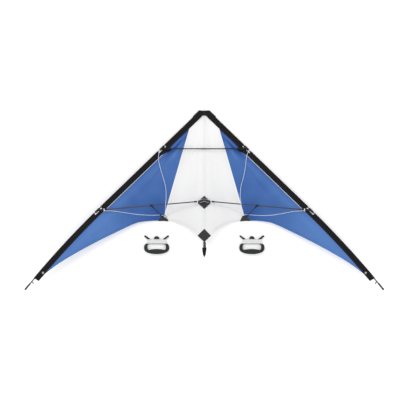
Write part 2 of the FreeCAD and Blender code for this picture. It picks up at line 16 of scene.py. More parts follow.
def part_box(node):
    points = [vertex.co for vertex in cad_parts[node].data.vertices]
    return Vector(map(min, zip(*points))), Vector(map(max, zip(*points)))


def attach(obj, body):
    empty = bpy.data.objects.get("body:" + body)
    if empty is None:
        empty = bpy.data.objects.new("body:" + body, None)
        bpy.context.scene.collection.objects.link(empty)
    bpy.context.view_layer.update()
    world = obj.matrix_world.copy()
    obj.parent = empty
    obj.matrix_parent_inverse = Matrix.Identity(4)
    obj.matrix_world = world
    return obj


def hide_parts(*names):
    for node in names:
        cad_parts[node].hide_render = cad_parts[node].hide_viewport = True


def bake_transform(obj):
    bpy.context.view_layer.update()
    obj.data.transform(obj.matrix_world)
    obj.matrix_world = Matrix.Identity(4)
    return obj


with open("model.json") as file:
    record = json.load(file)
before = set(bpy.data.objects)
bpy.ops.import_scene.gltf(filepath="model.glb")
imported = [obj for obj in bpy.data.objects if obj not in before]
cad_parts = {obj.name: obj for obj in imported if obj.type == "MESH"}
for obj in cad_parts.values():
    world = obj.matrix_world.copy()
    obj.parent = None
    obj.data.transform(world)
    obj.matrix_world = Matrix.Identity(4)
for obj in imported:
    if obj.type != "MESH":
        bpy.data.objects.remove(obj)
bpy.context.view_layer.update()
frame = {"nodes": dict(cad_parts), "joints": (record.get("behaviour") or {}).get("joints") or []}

MM = 0.001
SIDES = (("left", -1), ("right", 1))
UP = Vector((0, 0, 1))

# ---- the kite's frame ----------------------------------------------------------------------------

SPREADER_LEVEL = 8.0
SPINE_LEVEL = -5.0
JOINER = Vector((0, -9, SPREADER_LEVEL))
HINGE = next(joint for joint in frame["joints"] if joint["name"] == "left_wing_fold")
ALONG = Vector(HINGE["axis"]).normalized()
KITE = Matrix((Vector((1, 0, 0)), ALONG, Vector((1, 0, 0)).cross(ALONG))).transposed().to_4x4()
KITE.translation = Vector(HINGE["pos_m"]) - KITE.to_3x3() @ (JOINER * MM)
SETTLE = KITE @ Matrix.Scale(MM, 4)

# ---- the leading edge and the sail's outline, right half --------------------------------------------

NOSE_END = Vector((27, 387, 0))
EDGE_JOINT = Vector((455, -30, 0))
TIP_END = Vector((790, -397, 0))
SLEEVE_WIDTH = 22.0
SLEEVE_R = 4.2
ROD_R = 2.5
CORD_R = 0.9
STANDOFF_POINT = Vector((183, -94, -45))
SAIL_FOOT_Y = -165
TANGENT = (EDGE_JOINT - NOSE_END).normalized()
INWARD = Vector((TANGENT.y, -TANGENT.x, 0))
STRAIGHT = (EDGE_JOINT - NOSE_END).length
CHORD = TIP_END - EDGE_JOINT
EDGE_R = CHORD.length_squared / (2 * CHORD.dot(INWARD))
EDGE_CENTRE = EDGE_JOINT + INWARD * EDGE_R
EDGE_LENGTH = STRAIGHT + EDGE_R * 2 * math.asin(CHORD.length / (2 * EDGE_R))
UPPER_STATION = 226
LOWER_STATION = STRAIGHT + 30
SLEEVE_END = EDGE_LENGTH - 56
SAIL_TIP_STATION = SLEEVE_END - 44


def edge_frame(station):
    """Point on the rod's axis, tangent and inward normal at a distance along the leading edge."""
    if station <= STRAIGHT:
        return NOSE_END + TANGENT * station, TANGENT, INWARD
    turn = Matrix.Rotation(-(station - STRAIGHT) / EDGE_R, 3, "Z")
    normal = turn @ INWARD
    return EDGE_CENTRE - normal * EDGE_R, turn @ TANGENT, normal


def rear_edge(station):
    point, _, normal = edge_frame(station)
    return point + normal * SLEEVE_WIDTH


SAIL_NOSE = Vector((0, rear_edge(0).y - rear_edge(0).x * TANGENT.y / TANGENT.x, 0))
SEAM_TOP_STATION = (62 - rear_edge(0).x) / TANGENT.x
SEAM_TOP = rear_edge(SEAM_TOP_STATION)
SAIL_CORNER = rear_edge(STRAIGHT)
SAIL_TIP = rear_edge(SAIL_TIP_STATION)
WHITE_EDGE = [(183, -94), (161, -96), (130, -103.5), (101, -115), (75, -130), (51, -146), (36, -157),
              (22, -165), (0, -165)]
BLUE_EDGE = [(183, -94), (236, -95.5), (290, -102), (323, -113.5), (354, -128), (448, -174.5), (543, -225),
             (640, -283), (SAIL_TIP.x, SAIL_TIP.y)]


def along_path(points, share):
    """Point at a share of the length of a path, as if a batten were bent through its points."""
    total = [0.0]
    for here, there in zip(points, points[1:]):
        total.append(total[-1] + (Vector(there) - Vector(here)).length)
    want = share * total[-1]
    i = max(j for j in range(len(points) - 1) if total[j] <= want + 1e-9)
    k = (want - total[i]) / (total[i + 1] - total[i])
    nearby = [max(0, min(len(points) - 1, j)) for j in range(i - 1, i + 3)]
    before, here, there, after = (Vector(points[j]) for j in nearby)
    slope_here, slope_there = (there - before) / 2, (after - here) / 2
    return (here * (2 * k ** 3 - 3 * k ** 2 + 1) + slope_here * (k ** 3 - 2 * k ** 2 + k)
            + there * (3 * k ** 2 - 2 * k ** 3) + slope_there * (k ** 3 - k ** 2))


# ---- the sail's surface ------------------------------------------------------------------------------

def plane_height(a, b, c):
    normal = (b - a).cross(c - a)
    return lambda x, y: a.z - (normal.x * (x - a.x) + normal.y * (y - a.y)) / normal.z


SPINE_LOW = Vector((0, -200, 0))
SAIL_PLANES = [plane_height(first, second, STANDOFF_POINT) for first, second in
               ((SAIL_NOSE, SPINE_LOW), (SAIL_NOSE, SEAM_TOP),
                (SEAM_TOP, SAIL_CORNER), (SAIL_CORNER, SAIL_TIP))]
ROUNDING = 0.2  # per millimetre: how tight the cloth's creases are
SAG = 5.0
SPINE_CREASE = 60  # how far out from the spine its crease reaches
EDGE_BAND = 9  # the height over which the cloth leaves the sleeve without a wrinkle
PEAK_REACH = 80  # how far round the standoff's point the cloth is pulled tight


def from_standoff(x, y):
    return math.hypot(x - STANDOFF_POINT.x, y - STANDOFF_POINT.y)


def sail_height(x, y):
    """Height of the cloth pulled back to the standoff's point: an upturned tent with soft creases."""
    x = abs(x)
    heights = [plane(x, y) for plane in SAIL_PLANES]
    top = max(heights)
    soft = math.log(sum(math.exp((h - top) * ROUNDING) for h in heights)) / ROUNDING
    near_spine = min(1.0, x / SPINE_CREASE)
    near_edge = min(1.0, max(0.0, -top) / EDGE_BAND)
    slack = 1 - math.exp(-from_standoff(x, y) / PEAK_REACH)
    return top + (soft * near_spine - SAG * 0.3) * slack * near_edge


def smooth_step(x):
    x = min(1.0, max(0.0, x))
    return x * x * (3 - 2 * x)


# ---- small tools ----------------------------------------------------------------------------------------

def nothing_selected():
    if bpy.context.object and bpy.context.object.mode != "OBJECT":
        bpy.ops.object.mode_set(mode="OBJECT")
    bpy.ops.object.select_all(action="DESELECT")


def finish_modifiers(piece):
    nothing_selected()
    bpy.context.view_layer.objects.active = piece
    piece.select_set(True)
    for modifier in list(piece.modifiers):
        bpy.ops.object.modifier_apply(modifier=modifier.name)
    piece.select_set(False)


def bevelled(piece, width, segments=2, angle=35):
    modifier = piece.modifiers.new("bevel", "BEVEL")
    modifier.width, modifier.segments = width, segments
    modifier.limit_method, modifier.angle_limit = "ANGLE", math.radians(angle)
    finish_modifiers(piece)
    return piece


def smooth(piece, angle=40):
    nothing_selected()
    bpy.context.view_layer.objects.active = piece
    piece.select_set(True)
    bpy.ops.object.shade_smooth_by_angle(angle=math.radians(angle))
    piece.select_set(False)
    return piece


def mesh_piece(name, verts, faces):
    mesh = bpy.data.meshes.new(name)
    mesh.from_pydata([tuple(v) for v in verts], [], faces)
    mesh.validate()
    piece = bpy.data.objects.new(name, mesh)
    bpy.context.scene.collection.objects.link(piece)
    return piece


def thickened(piece, thickness, offset=-1.0):
    modifier = piece.modifiers.new("cloth", "SOLIDIFY")
    modifier.thickness, modifier.offset = thickness, offset
    finish_modifiers(piece)
    return piece


def net(rows, width, closed=False):
    """Faces of a net of points laid out in rows, joined round into a tube where it is closed."""
    faces = []
    for row in range(rows - 1):
        for here in range(width if closed else width - 1):
            there = (here + 1) % width
            low, high = row * width, (row + 1) * width
            faces.append((low + here, low + there, high + there, high + here))
    return faces


def reworked(piece, change):
    """Open a piece's mesh, change it and put it back."""
    work = bmesh.new()
    work.from_mesh(piece.data)
    change(work)
    work.to_mesh(piece.data)
    work.free()
    return piece


def turned_out(piece):
    """Point every face outwards."""
    def change(work):
        bmesh.ops.remove_doubles(work, verts=work.verts, dist=1e-5)
        bmesh.ops.recalc_face_normals(work, faces=work.faces)

    return reworked(piece, change)


def linked_copy(piece, name):
    copy = bpy.data.objects.new(name, piece.data.copy())
    bpy.context.scene.collection.objects.link(copy)
    return copy


def both_sides(piece):
    """A piece drawn for the right wing, and its mirrored copy for the left wing."""
    copy = linked_copy(piece, piece.name.replace("right", "left", 1))
    copy.data.transform(Matrix.Scale(-1, 4, (1, 0, 0)))
    copy.data.flip_normals()
    return ("right", piece), ("left", copy)


def joined(pieces, name):
    nothing_selected()
    for piece in pieces:
        piece.select_set(True)
    bpy.context.view_layer.objects.active = pieces[0]
    if len(pieces) > 1:
        bpy.ops.object.join()
    whole = bpy.context.view_layer.objects.active
    whole.name = whole.data.name = name
    nothing_selected()
    return whole


def settle(piece):
    piece.data.transform(SETTLE)
    return piece


def dress(piece, material):
    piece.data.materials.clear()
    piece.data.materials.append(material)
    return piece


def fitted(piece, material, body, node=None):
    """Lay a piece in its place on the floor, dress it, and hang it on its body."""
    dress(settle(piece), material)
    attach(piece, body)
    if node:
        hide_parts(node)


def frame_towards(direction, across=None):
    """Rotation whose z axis points along a direction."""
    z = Vector(direction).normalized()
    x = (Vector(across) if across else Vector((0, 0, 1)) if abs(z.z) < 0.9 else Vector((1, 0, 0)))
    x = (x - z * x.dot(z)).normalized()
    return Matrix((x, z.cross(x), z)).transposed().to_4x4()


def bar(name, start, end, radius, sides=24, rings=()):
    """A round bar, its ends rounded over and its girth changed at stated shares of its length."""
    start, end = Vector(start), Vector(end)
    nothing_selected()
    bpy.ops.mesh.primitive_cylinder_add(vertices=sides, radius=radius, depth=(end - start).length,
                                        end_fill_type="NGON")
    piece = bpy.context.object
    piece.name = piece.data.name = name
    length = (end - start).length
    if rings:
        bpy.ops.object.mode_set(mode="EDIT")
        for share, _ in rings:
            bpy.ops.mesh.select_all(action="SELECT")
            bpy.ops.mesh.bisect(plane_co=(0, 0, (share - 0.5) * length), plane_no=(0, 0, 1))
        bpy.ops.object.mode_set(mode="OBJECT")
        for vertex in piece.data.vertices:
            for share, girth in rings:
                if abs(vertex.co.z - (share - 0.5) * length) < 1e-3:
                    vertex.co.x *= girth
                    vertex.co.y *= girth
    bevelled(piece, radius * 0.18, 3, 50)
    piece.data.transform(Matrix.Translation((start + end) / 2) @ frame_towards(end - start))
    return piece


def loop_of_cord(name, centre, axis, radius, thickness, stretch=1.0, tilt=0.0):
    """One turn of cord: a ring, pulled a little out of round and leaned over."""
    nothing_selected()
    bpy.ops.mesh.primitive_torus_add(major_radius=radius, minor_radius=thickness, major_segments=36,
                                     minor_segments=10)
    piece = bpy.context.object
    piece.name = piece.data.name = name
    bpy.ops.object.mode_set(mode="EDIT")
    bpy.ops.mesh.select_all(action="SELECT")
    bpy.ops.transform.resize(value=(stretch, 1 / stretch, 1.0), center_override=(0, 0, 0))
    bpy.ops.transform.rotate(value=tilt, orient_axis="X", center_override=(0, 0, 0))
    bpy.ops.object.mode_set(mode="OBJECT")
    piece.data.transform(Matrix.Translation(Vector(centre)) @ frame_towards(axis))
    return piece


def overhand_knot(name, centre, axis, size, thickness):
    """A pulled-down overhand knot: three tight turns of cord through each other."""
    turns = [loop_of_cord(name, centre, axis, size, thickness, 1.15, 0.35),
             loop_of_cord(name, centre, Vector(axis).orthogonal(), size * 0.92, thickness, 1.1, -0.5),
             loop_of_cord(name, centre, Vector(axis).cross(Vector(axis).orthogonal()), size * 0.85, thickness,
                          1.2, 0.6)]
    return joined(turns, name)


# ---- shader groups -----------------------------------------------------------------------------------------

def new_group(name, outputs, **inputs):
    """An empty shader group.  All that goes in and comes out is plain values."""
    group = bpy.data.node_groups.new(name, "ShaderNodeTree")
    for label, value in inputs.items():
        socket = group.interface.new_socket(name=label, in_out="INPUT", socket_type="NodeSocketFloat")
        socket.default_value = value
    for label in outputs:
        group.interface.new_socket(name=label, in_out="OUTPUT", socket_type="NodeSocketFloat")
    return group, group.nodes.new("NodeGroupInput"), group.nodes.new("NodeGroupOutput")


def add(tree, kind, links=(), **settings):
    """A node with its settings, and its inputs linked or given values."""
    node = tree.nodes.new(kind)
    for key, value in settings.items():
        setattr(node, key, value)
    for socket, value in links:
        if isinstance(value, bpy.types.NodeSocket):
            tree.links.new(value, node.inputs[socket])
        else:
            node.inputs[socket].default_value = value
    return node


def math_node(tree, operation, *values):
    return add(tree, "ShaderNodeMath", list(enumerate(values)), operation=operation).outputs[0]


def noise_node(tree, place, scale, detail):
    links = [("Vector", place), ("Scale", scale), ("Detail", detail)]
    return add(tree, "ShaderNodeTexNoise", links).outputs["Fac"]


def object_place(tree):
    return tree.nodes.new("ShaderNodeTexCoord").outputs["Object"]


def ripstop_group():
    """Ripstop: a square net of thicker threads in a fine plain weave.  Pitch is in metres."""
    group, given, result = new_group("ripstop", ("Height", "Thread"), Pitch=0.005)
    place = add(group, "ShaderNodeSeparateXYZ", [(0, object_place(group))])
    nets = []
    for share, sharpness in ((1.0, 14.0), (0.12, 1.0)):
        pitch = math_node(group, "MULTIPLY", given.outputs["Pitch"], share)
        lines = []
        for axis in (0, 1):
            turns = math_node(group, "DIVIDE", place.outputs[axis], pitch)
            wave = math_node(group, "COSINE", math_node(group, "MULTIPLY", turns, math.tau))
            lift = math_node(group, "MULTIPLY_ADD", wave, 0.5, 0.5)
            lines.append(math_node(group, "POWER", lift, sharpness))
        nets.append(math_node(group, "MAXIMUM", *lines))
    height = math_node(group, "MULTIPLY_ADD", nets[1], 0.35, nets[0])
    group.links.new(height, result.inputs["Height"])
    group.links.new(nets[0], result.inputs["Thread"])
    return group


def weave_group():
    """Plain weave of flat yarns.  Pitch is one yarn's width in metres."""
    group, given, result = new_group("plain weave", ("Height", "Shade"), Pitch=0.0011, Turn=0.78)
    links = [("Vector", object_place(group)), ("Angle", given.outputs["Turn"])]
    turned = add(group, "ShaderNodeVectorRotate", links)
    place = add(group, "ShaderNodeSeparateXYZ", [(0, turned.outputs[0])])
    waves = []
    for axis in (0, 1):
        turns = math_node(group, "DIVIDE", place.outputs[axis], given.outputs["Pitch"])
        waves.append(math_node(group, "SINE", math_node(group, "MULTIPLY", turns, math.pi)))
    height = math_node(group, "MULTIPLY_ADD", math_node(group, "MULTIPLY", *waves), 0.5, 0.5)
    group.links.new(height, result.inputs["Height"])
    fuzz = noise_node(group, turned.outputs[0], 900.0, 3.0)
    # Shade: random fuzz plus a painted highlight on each yarn's crown.
    shade = math_node(group, "MULTIPLY_ADD", fuzz, 0.5, math_node(group, "MULTIPLY", height, 0.5))
    group.links.new(shade, result.inputs["Shade"])
    return group


def handling_group():
    """What handling leaves: slow changes of colour, and fine dust or rub marks."""
    group, given, result = new_group("handling marks", ("Tone", "Speck"), Size=6.0, Fine=220.0)
    place = object_place(group)
    slow = noise_node(group, place, given.outputs["Size"], 4.0)
    fine = noise_node(group, place, given.outputs["Fine"], 6.0)
    group.links.new(slow, result.inputs["Tone"])
    speck = add(group, "ShaderNodeMapRange", [("Value", fine), ("From Min", 0.45), ("From Max", 0.8)])
    group.links.new(speck.outputs[0], result.inputs["Speck"])
    return group


def braid_group():
    """Braided cord: two sets of slanting strands crossing in the piece's own place.  Pitch is in metres."""
    group, given, result = new_group("braid", ("Height",), Pitch=0.0016, Strands=4.0)
    place = add(group, "ShaderNodeSeparateXYZ", [(0, object_place(group))])
    wave = []
    for sign in (1, -1):
        skew = math_node(group, "MULTIPLY_ADD", place.outputs[1], sign, place.outputs[0])
        skew = math_node(group, "ADD", skew, math_node(group, "MULTIPLY", place.outputs[2], sign * 0.7))
        turns = math_node(group, "DIVIDE", skew, given.outputs["Pitch"])
        wave.append(math_node(group, "SINE", math_node(group, "MULTIPLY", turns, given.outputs["Strands"])))
    height = math_node(group, "MULTIPLY_ADD", math_node(group, "MAXIMUM", *wave), 0.5, 0.5)
    group.links.new(height, result.inputs["Height"])
    return group


RIPSTOP, WEAVE, HANDLING, BRAID = ripstop_group(), weave_group(), handling_group(), braid_group()


def grouped(tree, group, **values):
    node = tree.nodes.new("ShaderNodeGroup")
    node.node_tree = group
    for key, value in values.items():
        node.inputs[key].default_value = value
    return node


def material(name, roughness=0.5, **sockets):
    made = bpy.data.materials.new(name)
    made.use_nodes = True
    shader = made.node_tree.nodes["Principled BSDF"]
    shader.inputs["Roughness"].default_value = roughness
    for socket, value in sockets.items():
        shader.inputs[socket.replace("_", " ")].default_value = value
    return made, made.node_tree, shader


def mixed(tree, factor, dark, light):
    node = add(tree, "ShaderNodeMix", [("Factor", factor)], data_type="RGBA")
    node.inputs["A"].default_value, node.inputs["B"].default_value = (*dark, 1), (*light, 1)
    return node.outputs["Result"]


def coloured(tree, shader, factor, dark, light):
    tree.links.new(mixed(tree, factor, dark, light), shader.inputs["Base Color"])


def bump(tree, shader, height, distance, strength):
    node = add(tree, "ShaderNodeBump", [("Height", height), ("Distance", distance), ("Strength", strength)])
    tree.links.new(node.outputs["Normal"], shader.inputs["Normal"])


def roughness_range(tree, shader, factor, low, high):
    node = add(tree, "ShaderNodeMapRange", [("Value", factor), ("To Min", low), ("To Max", high)])
    tree.links.new(node.outputs[0], shader.inputs["Roughness"])


def sailcloth(name, deep, light, pale):
    """Coated ripstop: the cloth's attribute carries painted shade and painted highlights, such as the panel
    darkening towards its foot, with random mottle, and mixes the deep and light colours by them.
    """
    made, tree, shader = material(name, Sheen_Weight=0.05, Sheen_Roughness=0.45, Specular_IOR_Level=0.25)
    painted_light_and_mottle = add(tree, "ShaderNodeAttribute", attribute_name="painted_light_and_mottle").outputs["Fac"]
    marks = grouped(tree, HANDLING, Size=5.0)
    weave = grouped(tree, RIPSTOP, Pitch=0.0055)
    mottle = math_node(tree, "SUBTRACT", marks.outputs["Tone"], 0.5)
    ground = mixed(tree, math_node(tree, "MULTIPLY_ADD", mottle, 0.35, painted_light_and_mottle), deep, light)
    threads = math_node(tree, "MULTIPLY", weave.outputs["Thread"], 0.16)
    face = add(tree, "ShaderNodeMix", [("Factor", threads), ("A", ground)], data_type="RGBA")
    face.inputs["B"].default_value = (*pale, 1)
    tree.links.new(face.outputs["Result"], shader.inputs["Base Color"])
    roughness_range(tree, shader, marks.outputs["Tone"], 0.42, 0.6)
    bump(tree, shader, weave.outputs["Height"], 0.00012, 0.5)
    return made


def webbing(name, dark, light, pitch, turn=0.78, depth=0.0003):
    """Woven tape: matt yarns with painted highlights on their crowns, and a little dust."""
    made, tree, shader = material(name, Sheen_Weight=0.06, Sheen_Roughness=0.5, Specular_IOR_Level=0.16)
    yarn = grouped(tree, WEAVE, Pitch=pitch, Turn=turn)
    marks = grouped(tree, HANDLING, Size=9.0)
    painted_light_and_mottle = math_node(tree, "MULTIPLY", yarn.outputs["Shade"], marks.outputs["Tone"])
    coloured(tree, shader, painted_light_and_mottle, dark, light)
    roughness_range(tree, shader, marks.outputs["Speck"], 0.6, 0.85)
    bump(tree, shader, yarn.outputs["Height"], depth, 0.7)
    return made


def braided(name, dark, light, pitch):
    made, tree, shader = material(name, roughness=0.62, Sheen_Weight=0.2, Specular_IOR_Level=0.35)
    strands = grouped(tree, BRAID, Pitch=pitch)
    # Colour follows the strands' height: painted shade in the grooves between strands, painted highlight on
    # their crowns.
    coloured(tree, shader, strands.outputs["Height"], dark, light)
    bump(tree, shader, strands.outputs["Height"], 0.0002, 0.6)
    return made


def hard(name, marks_size, stain, colours, gloss, **sockets):
    """A hard surface: one of the handling marks stains it, and the slow one dulls it in places."""
    made, tree, shader = material(name, **sockets)
    marks = grouped(tree, HANDLING, Size=marks_size[0], Fine=marks_size[1])
    coloured(tree, shader, marks.outputs[stain], *colours)
    roughness_range(tree, shader, marks.outputs["Tone"], *gloss)
    return made, tree, shader, marks


def moulded(name, dark, light, low, high, grain=0.00006, scale=900.0):
    """Moulded plastic or vinyl with a fine spark-eroded grain, rubbed a little smoother in places."""
    made, tree, shader, _ = hard(name, (28.0, 420.0), "Tone", (dark, light), (low, high),
                                 Specular_IOR_Level=0.28, Coat_Weight=0.03, Coat_Roughness=0.3)
    bump(tree, shader, noise_node(tree, object_place(tree), scale, 5.0), grain, 0.6)
    return made


def pultruded(name, dark, light, low, high):
    """Fibreglass rod: glass rovings run lengthways under a thin resin skin."""
    made, tree, shader, marks = hard(name, (14.0, 700.0), "Speck", (dark, light), (low, high),
                                     Specular_IOR_Level=0.3, Coat_Weight=0.1, Coat_Roughness=0.18)
    bump(tree, shader, marks.outputs["Speck"], 0.00003, 0.5)
    return made


def plated(name, dark, light, low, high):
    made, tree, shader, marks = hard(name, (40.0, 900.0), "Speck", (dark, light), (low, high),
                                     Metallic=1.0, Specular_IOR_Level=0.5)
    bump(tree, shader, marks.outputs["Speck"], 0.00002, 0.4)
    return made


# The deep and light colours of the white and blue sailcloth are the ends of their painted shade and painted
# highlights.
WHITE_SAIL = sailcloth("white ripstop", (0.74, 0.74, 0.745), (0.885, 0.885, 0.89), (0.92, 0.92, 0.93))
# Brighter white for the seam tape, and for the painted highlight strip along each sleeve's rear edge.
SEAM_TAPE_AND_HIGHLIGHT = sailcloth("white seam tape and painted highlight", (0.86, 0.88, 0.91), (0.92, 0.94, 0.97), (0.95, 0.96, 0.98))
BLUE_SAIL = sailcloth("blue ripstop", (0.012, 0.070, 0.290), (0.080, 0.192, 0.490), (0.10, 0.22, 0.53))
SLEEVE_TAPE = webbing("black sleeve tape", (0.003, 0.002, 0.003), (0.016, 0.010, 0.013), 0.0011)
NOSE_TAPE = webbing("black nose webbing", (0.002, 0.002, 0.002), (0.016, 0.015, 0.016), 0.0018, 0.0, 0.0005)
STRAP_TAPE = webbing("grey strap webbing", (0.20, 0.20, 0.205), (0.42, 0.42, 0.43), 0.0014, 0.0, 0.0004)
PATCH_CLOTH = webbing("dark grey patch cloth", (0.024, 0.024, 0.026), (0.088, 0.088, 0.091), 0.0009)
WHITE_CORD = braided("white bridle cord", (0.62, 0.66, 0.74), (0.90, 0.92, 0.96), 0.0032)
# Light grey cord over the joiner, coloured to give painted highlights along the tube's edges.
HIGHLIGHT_GREY_CORD = braided("grey lashing cord", (0.30, 0.30, 0.31), (0.50, 0.50, 0.51), 0.0032)
BLACK_CORD = braided("black tension cord", (0.010, 0.010, 0.011), (0.045, 0.045, 0.048), 0.0034)
FLYING_LINE = braided("flying line", (0.66, 0.67, 0.69), (0.92, 0.92, 0.93), 0.0016)
WHITE_THREAD = braided("white thread", (0.6, 0.6, 0.62), (0.85, 0.85, 0.87), 0.001)
BLACK_THREAD = braided("black thread", (0.02, 0.02, 0.022), (0.07, 0.07, 0.075), 0.001)
VINYL = moulded("black vinyl", (0.004, 0.004, 0.004), (0.014, 0.014, 0.015), 0.32, 0.5)
HANDLE_PLASTIC = moulded("handle plastic", (0.010, 0.011, 0.011), (0.026, 0.028, 0.028), 0.40, 0.6,
                         0.0001, 520.0)
BLACK_ROD = pultruded("black fibreglass", (0.005, 0.005, 0.006), (0.02, 0.02, 0.023), 0.28, 0.42)
GREY_ROD = pultruded("grey fibreglass", (0.050, 0.042, 0.046), (0.11, 0.095, 0.10), 0.3, 0.45)
JOINER_VINYL = moulded("grey joiner vinyl", (0.016, 0.016, 0.018), (0.040, 0.040, 0.043), 0.3, 0.46)
NICKEL = plated("nickel", (0.62, 0.62, 0.64), (0.82, 0.82, 0.83), 0.18, 0.36)

for node, finish in (("le_upper_rod", BLACK_ROD), ("le_lower_rod", BLACK_ROD), ("le_ferrule", GREY_ROD),
                     ("lower_spreader", GREY_ROD), ("tip_eyelet", NICKEL), ("standoff_rod", BLACK_ROD)):
    for side, _ in SIDES:
        frame["nodes"][f"{side}_{node}"].data.materials[0] = finish
for node in ("spine_rod", "upper_spreader"):
    frame["nodes"][node].data.materials[0] = BLACK_ROD
frame["nodes"]["spine_nose_cap"].data.materials[0] = VINYL

# ---- camera, light and floor ---------------------------------------------------------------------------

CAMERA_PLACE = (-0.019125, -0.000675, 5.0)
LENS, FILM_WIDTH = 100, 36


def camera():
    """Looks straight down, from a little left of the spine."""
    lens = bpy.data.cameras.new("camera")
    lens.lens, lens.sensor_width = LENS, FILM_WIDTH
    eye = bpy.data.objects.new("camera", lens)
    eye.location = CAMERA_PLACE
    bpy.context.scene.collection.objects.link(eye)
    bpy.context.scene.camera = eye


def soft_light(name, place, size, power):
    lamp = bpy.data.lights.new(name, "AREA")
    lamp.size, lamp.energy = size, power
    holder = bpy.data.objects.new(name, lamp)
    holder.location = place
    holder.rotation_euler = (-Vector(place)).to_track_quat("-Z", "Y").to_euler()
    bpy.context.scene.collection.objects.link(holder)


def studio():
    nothing_selected()
    bpy.ops.mesh.primitive_plane_add(size=30, location=(0, 0, 0))
    floor = bpy.context.object
    floor.name = "floor"
    paint, _, shader = material("floor paint", roughness=0.9)
    shader.inputs["Base Color"].default_value = (0.93, 0.93, 0.93, 1)
    shader.inputs["Emission Color"].default_value = (1, 1, 1, 1)
    shader.inputs["Emission Strength"].default_value = 0.22
    floor.data.materials.append(paint)
    soft_light("key light", (-1.6, 1.8, 3.2), 2.6, 44)
    soft_light("fill light", (2.4, -1.2, 3.0), 3.4, 26)
    sky = bpy.data.worlds.new("sky")
    sky.use_nodes = True
    sky.node_tree.nodes["Background"].inputs["Color"].default_value = (1, 1, 1, 1)
    sky.node_tree.nodes["Background"].inputs["Strength"].default_value = 0.78
    bpy.context.scene.world = sky
    bpy.context.scene.view_settings.view_transform = "Standard"
    bpy.context.scene.view_settings.look = "None"


camera()
studio()

# ---- cords ---------------------------------------------------------------------------------------------

BRIDLE_UPPER = {
    "left": [(-201.0, 217.4, 5.4), (-204, 200, 5.8), (-206, 178, 4.6), (-199, 147, -2.5), (-187, 106, -11),
             (-173, 60, -19), (-170, 14, -13), (-171, -8, 15.5), (-172.6, -40, 15.5), (-175, -56, -15),
             (-176.6, -73, -35.6)],
    "right": [(201.0, 217.4, 5.4), (193, 204, 5.4), (188, 184, 1.6), (185, 150, -4.2), (178, 106, -12),
              (164, 60, -20.6), (160, 14, -14), (162, -7, 15.5), (165, -39, 15.5), (171, -54, -15),
              (176.5, -66, -34)],
}
BRIDLE_LOWER = {
    "left": [(-446, -52.6, 14.3), (-431, -53.5, 9.5), (-411, -52.5, 3.5), (-380, -57, -5),
             (-345, -61.5, -12.5), (-306, -67, -19.5), (-266, -70, -25.6), (-231, -70.5, -31.2),
             (-204, -69, -35.6), (-187, -69.5, -37.2), (-180, -74.5, -38)],
    "right": [(446, -52.6, 14.3), (430, -54, 9), (409, -54, 2.6), (378, -58.5, -5.6), (343, -65, -13.6),
              (305, -71, -20.4), (266, -72.5, -26), (231, -70.5, -31.2), (205, -68.5, -35.4),
              (189, -66.5, -37), (180, -68.6, -36.8)],
}
BRIDLE_CENTRE = {
    "left": [(-30, -18.8, 9.8), (-43, -24, -1), (-63, -31, -12), (-92, -36, -19.4), (-124, -48, -27.2),
             (-153, -62, -34.4), (-174, -75.4, -38.2)],
    "right": [(30, -18.8, 9.8), (43, -23, -1), (64, -27, -12.2), (95, -35, -20), (127, -42, -27.8),
              (153, -55, -34.2), (174.4, -67.8, -36.6)],
}
BRIDLE_TOW = {"left": Vector((-176.6, -76.4, -38.0)), "right": Vector((177.0, -69.0, -36.3))}
LINE_THICKNESS = 0.0006


def nurbs(name, points, thickness, resolution, sides):
    """A cord along control points given in metres."""
    curve = bpy.data.curves.new(name, "CURVE")
    curve.dimensions = "3D"
    curve.bevel_depth, curve.bevel_resolution = thickness / 2, sides
    curve.resolution_u = resolution
    curve.use_fill_caps = True
    spline = curve.splines.new("NURBS")
    spline.points.add(len(points) - 1)
    for spot, point in zip(spline.points, points):
        spot.co = (*point, 1)
    spline.order_u = 3
    spline.use_endpoint_u = True
    piece = bpy.data.objects.new(name, curve)
    bpy.context.scene.collection.objects.link(piece)
    return piece


def on_floor(point):
    return SETTLE @ Vector(point)


def bridle():
    legs = {}
    for side, _ in SIDES:
        for leg, routes in (("upper", BRIDLE_UPPER), ("lower", BRIDLE_LOWER), ("center", BRIDLE_CENTRE)):
            points = [on_floor(p) for p in routes[side]]
            cord = nurbs(f"{side}_bridle_{leg}_cord", points, 2 * CORD_R * MM, 8, 3)
            cord.data.materials.append(WHITE_CORD)
            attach(cord, f"{side}_wing")
            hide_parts(f"{side}_bridle_{leg}_leg")
            legs[side, leg] = cord
    return legs


WINDING_HALF = 44.0
WINDING_LEVELS = (0.4, 13.6)
WINDING_Y = (22.8, 42.4)
TURNS_IN_LAYER = 32
LAYERS = 4
LINE_END = (44.0, 21.5, 14.4)
PACKING = 0.985  # how close the turns lie beside each other


def handle_place(side):
    """Where the middle of a handle's finger opening lies on the floor, in millimetres."""
    low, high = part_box(f"{side}_handle_frame")
    return Vector(((low.x + high.x) / 2, low.y + 24 * MM, 0)) / MM


def turn_section(half_x, half_z):
    """One turn of the line round the neck: a flat oblong with rounded corners."""
    corner = [(half_x, half_z - 2.2), (half_x - 1.0, half_z - 0.4), (half_x - 4.5, half_z)]
    return ([(half_x, 0.0)] + corner + [(half_x * 0.4, half_z), (-half_x * 0.4, half_z)]
            + [(-x, z) for x, z in reversed(corner)] + [(-half_x, 0.0)]
            + [(-x, -z) for x, z in corner] + [(0.0, -half_z)] + [(x, -z) for x, z in reversed(corner)])


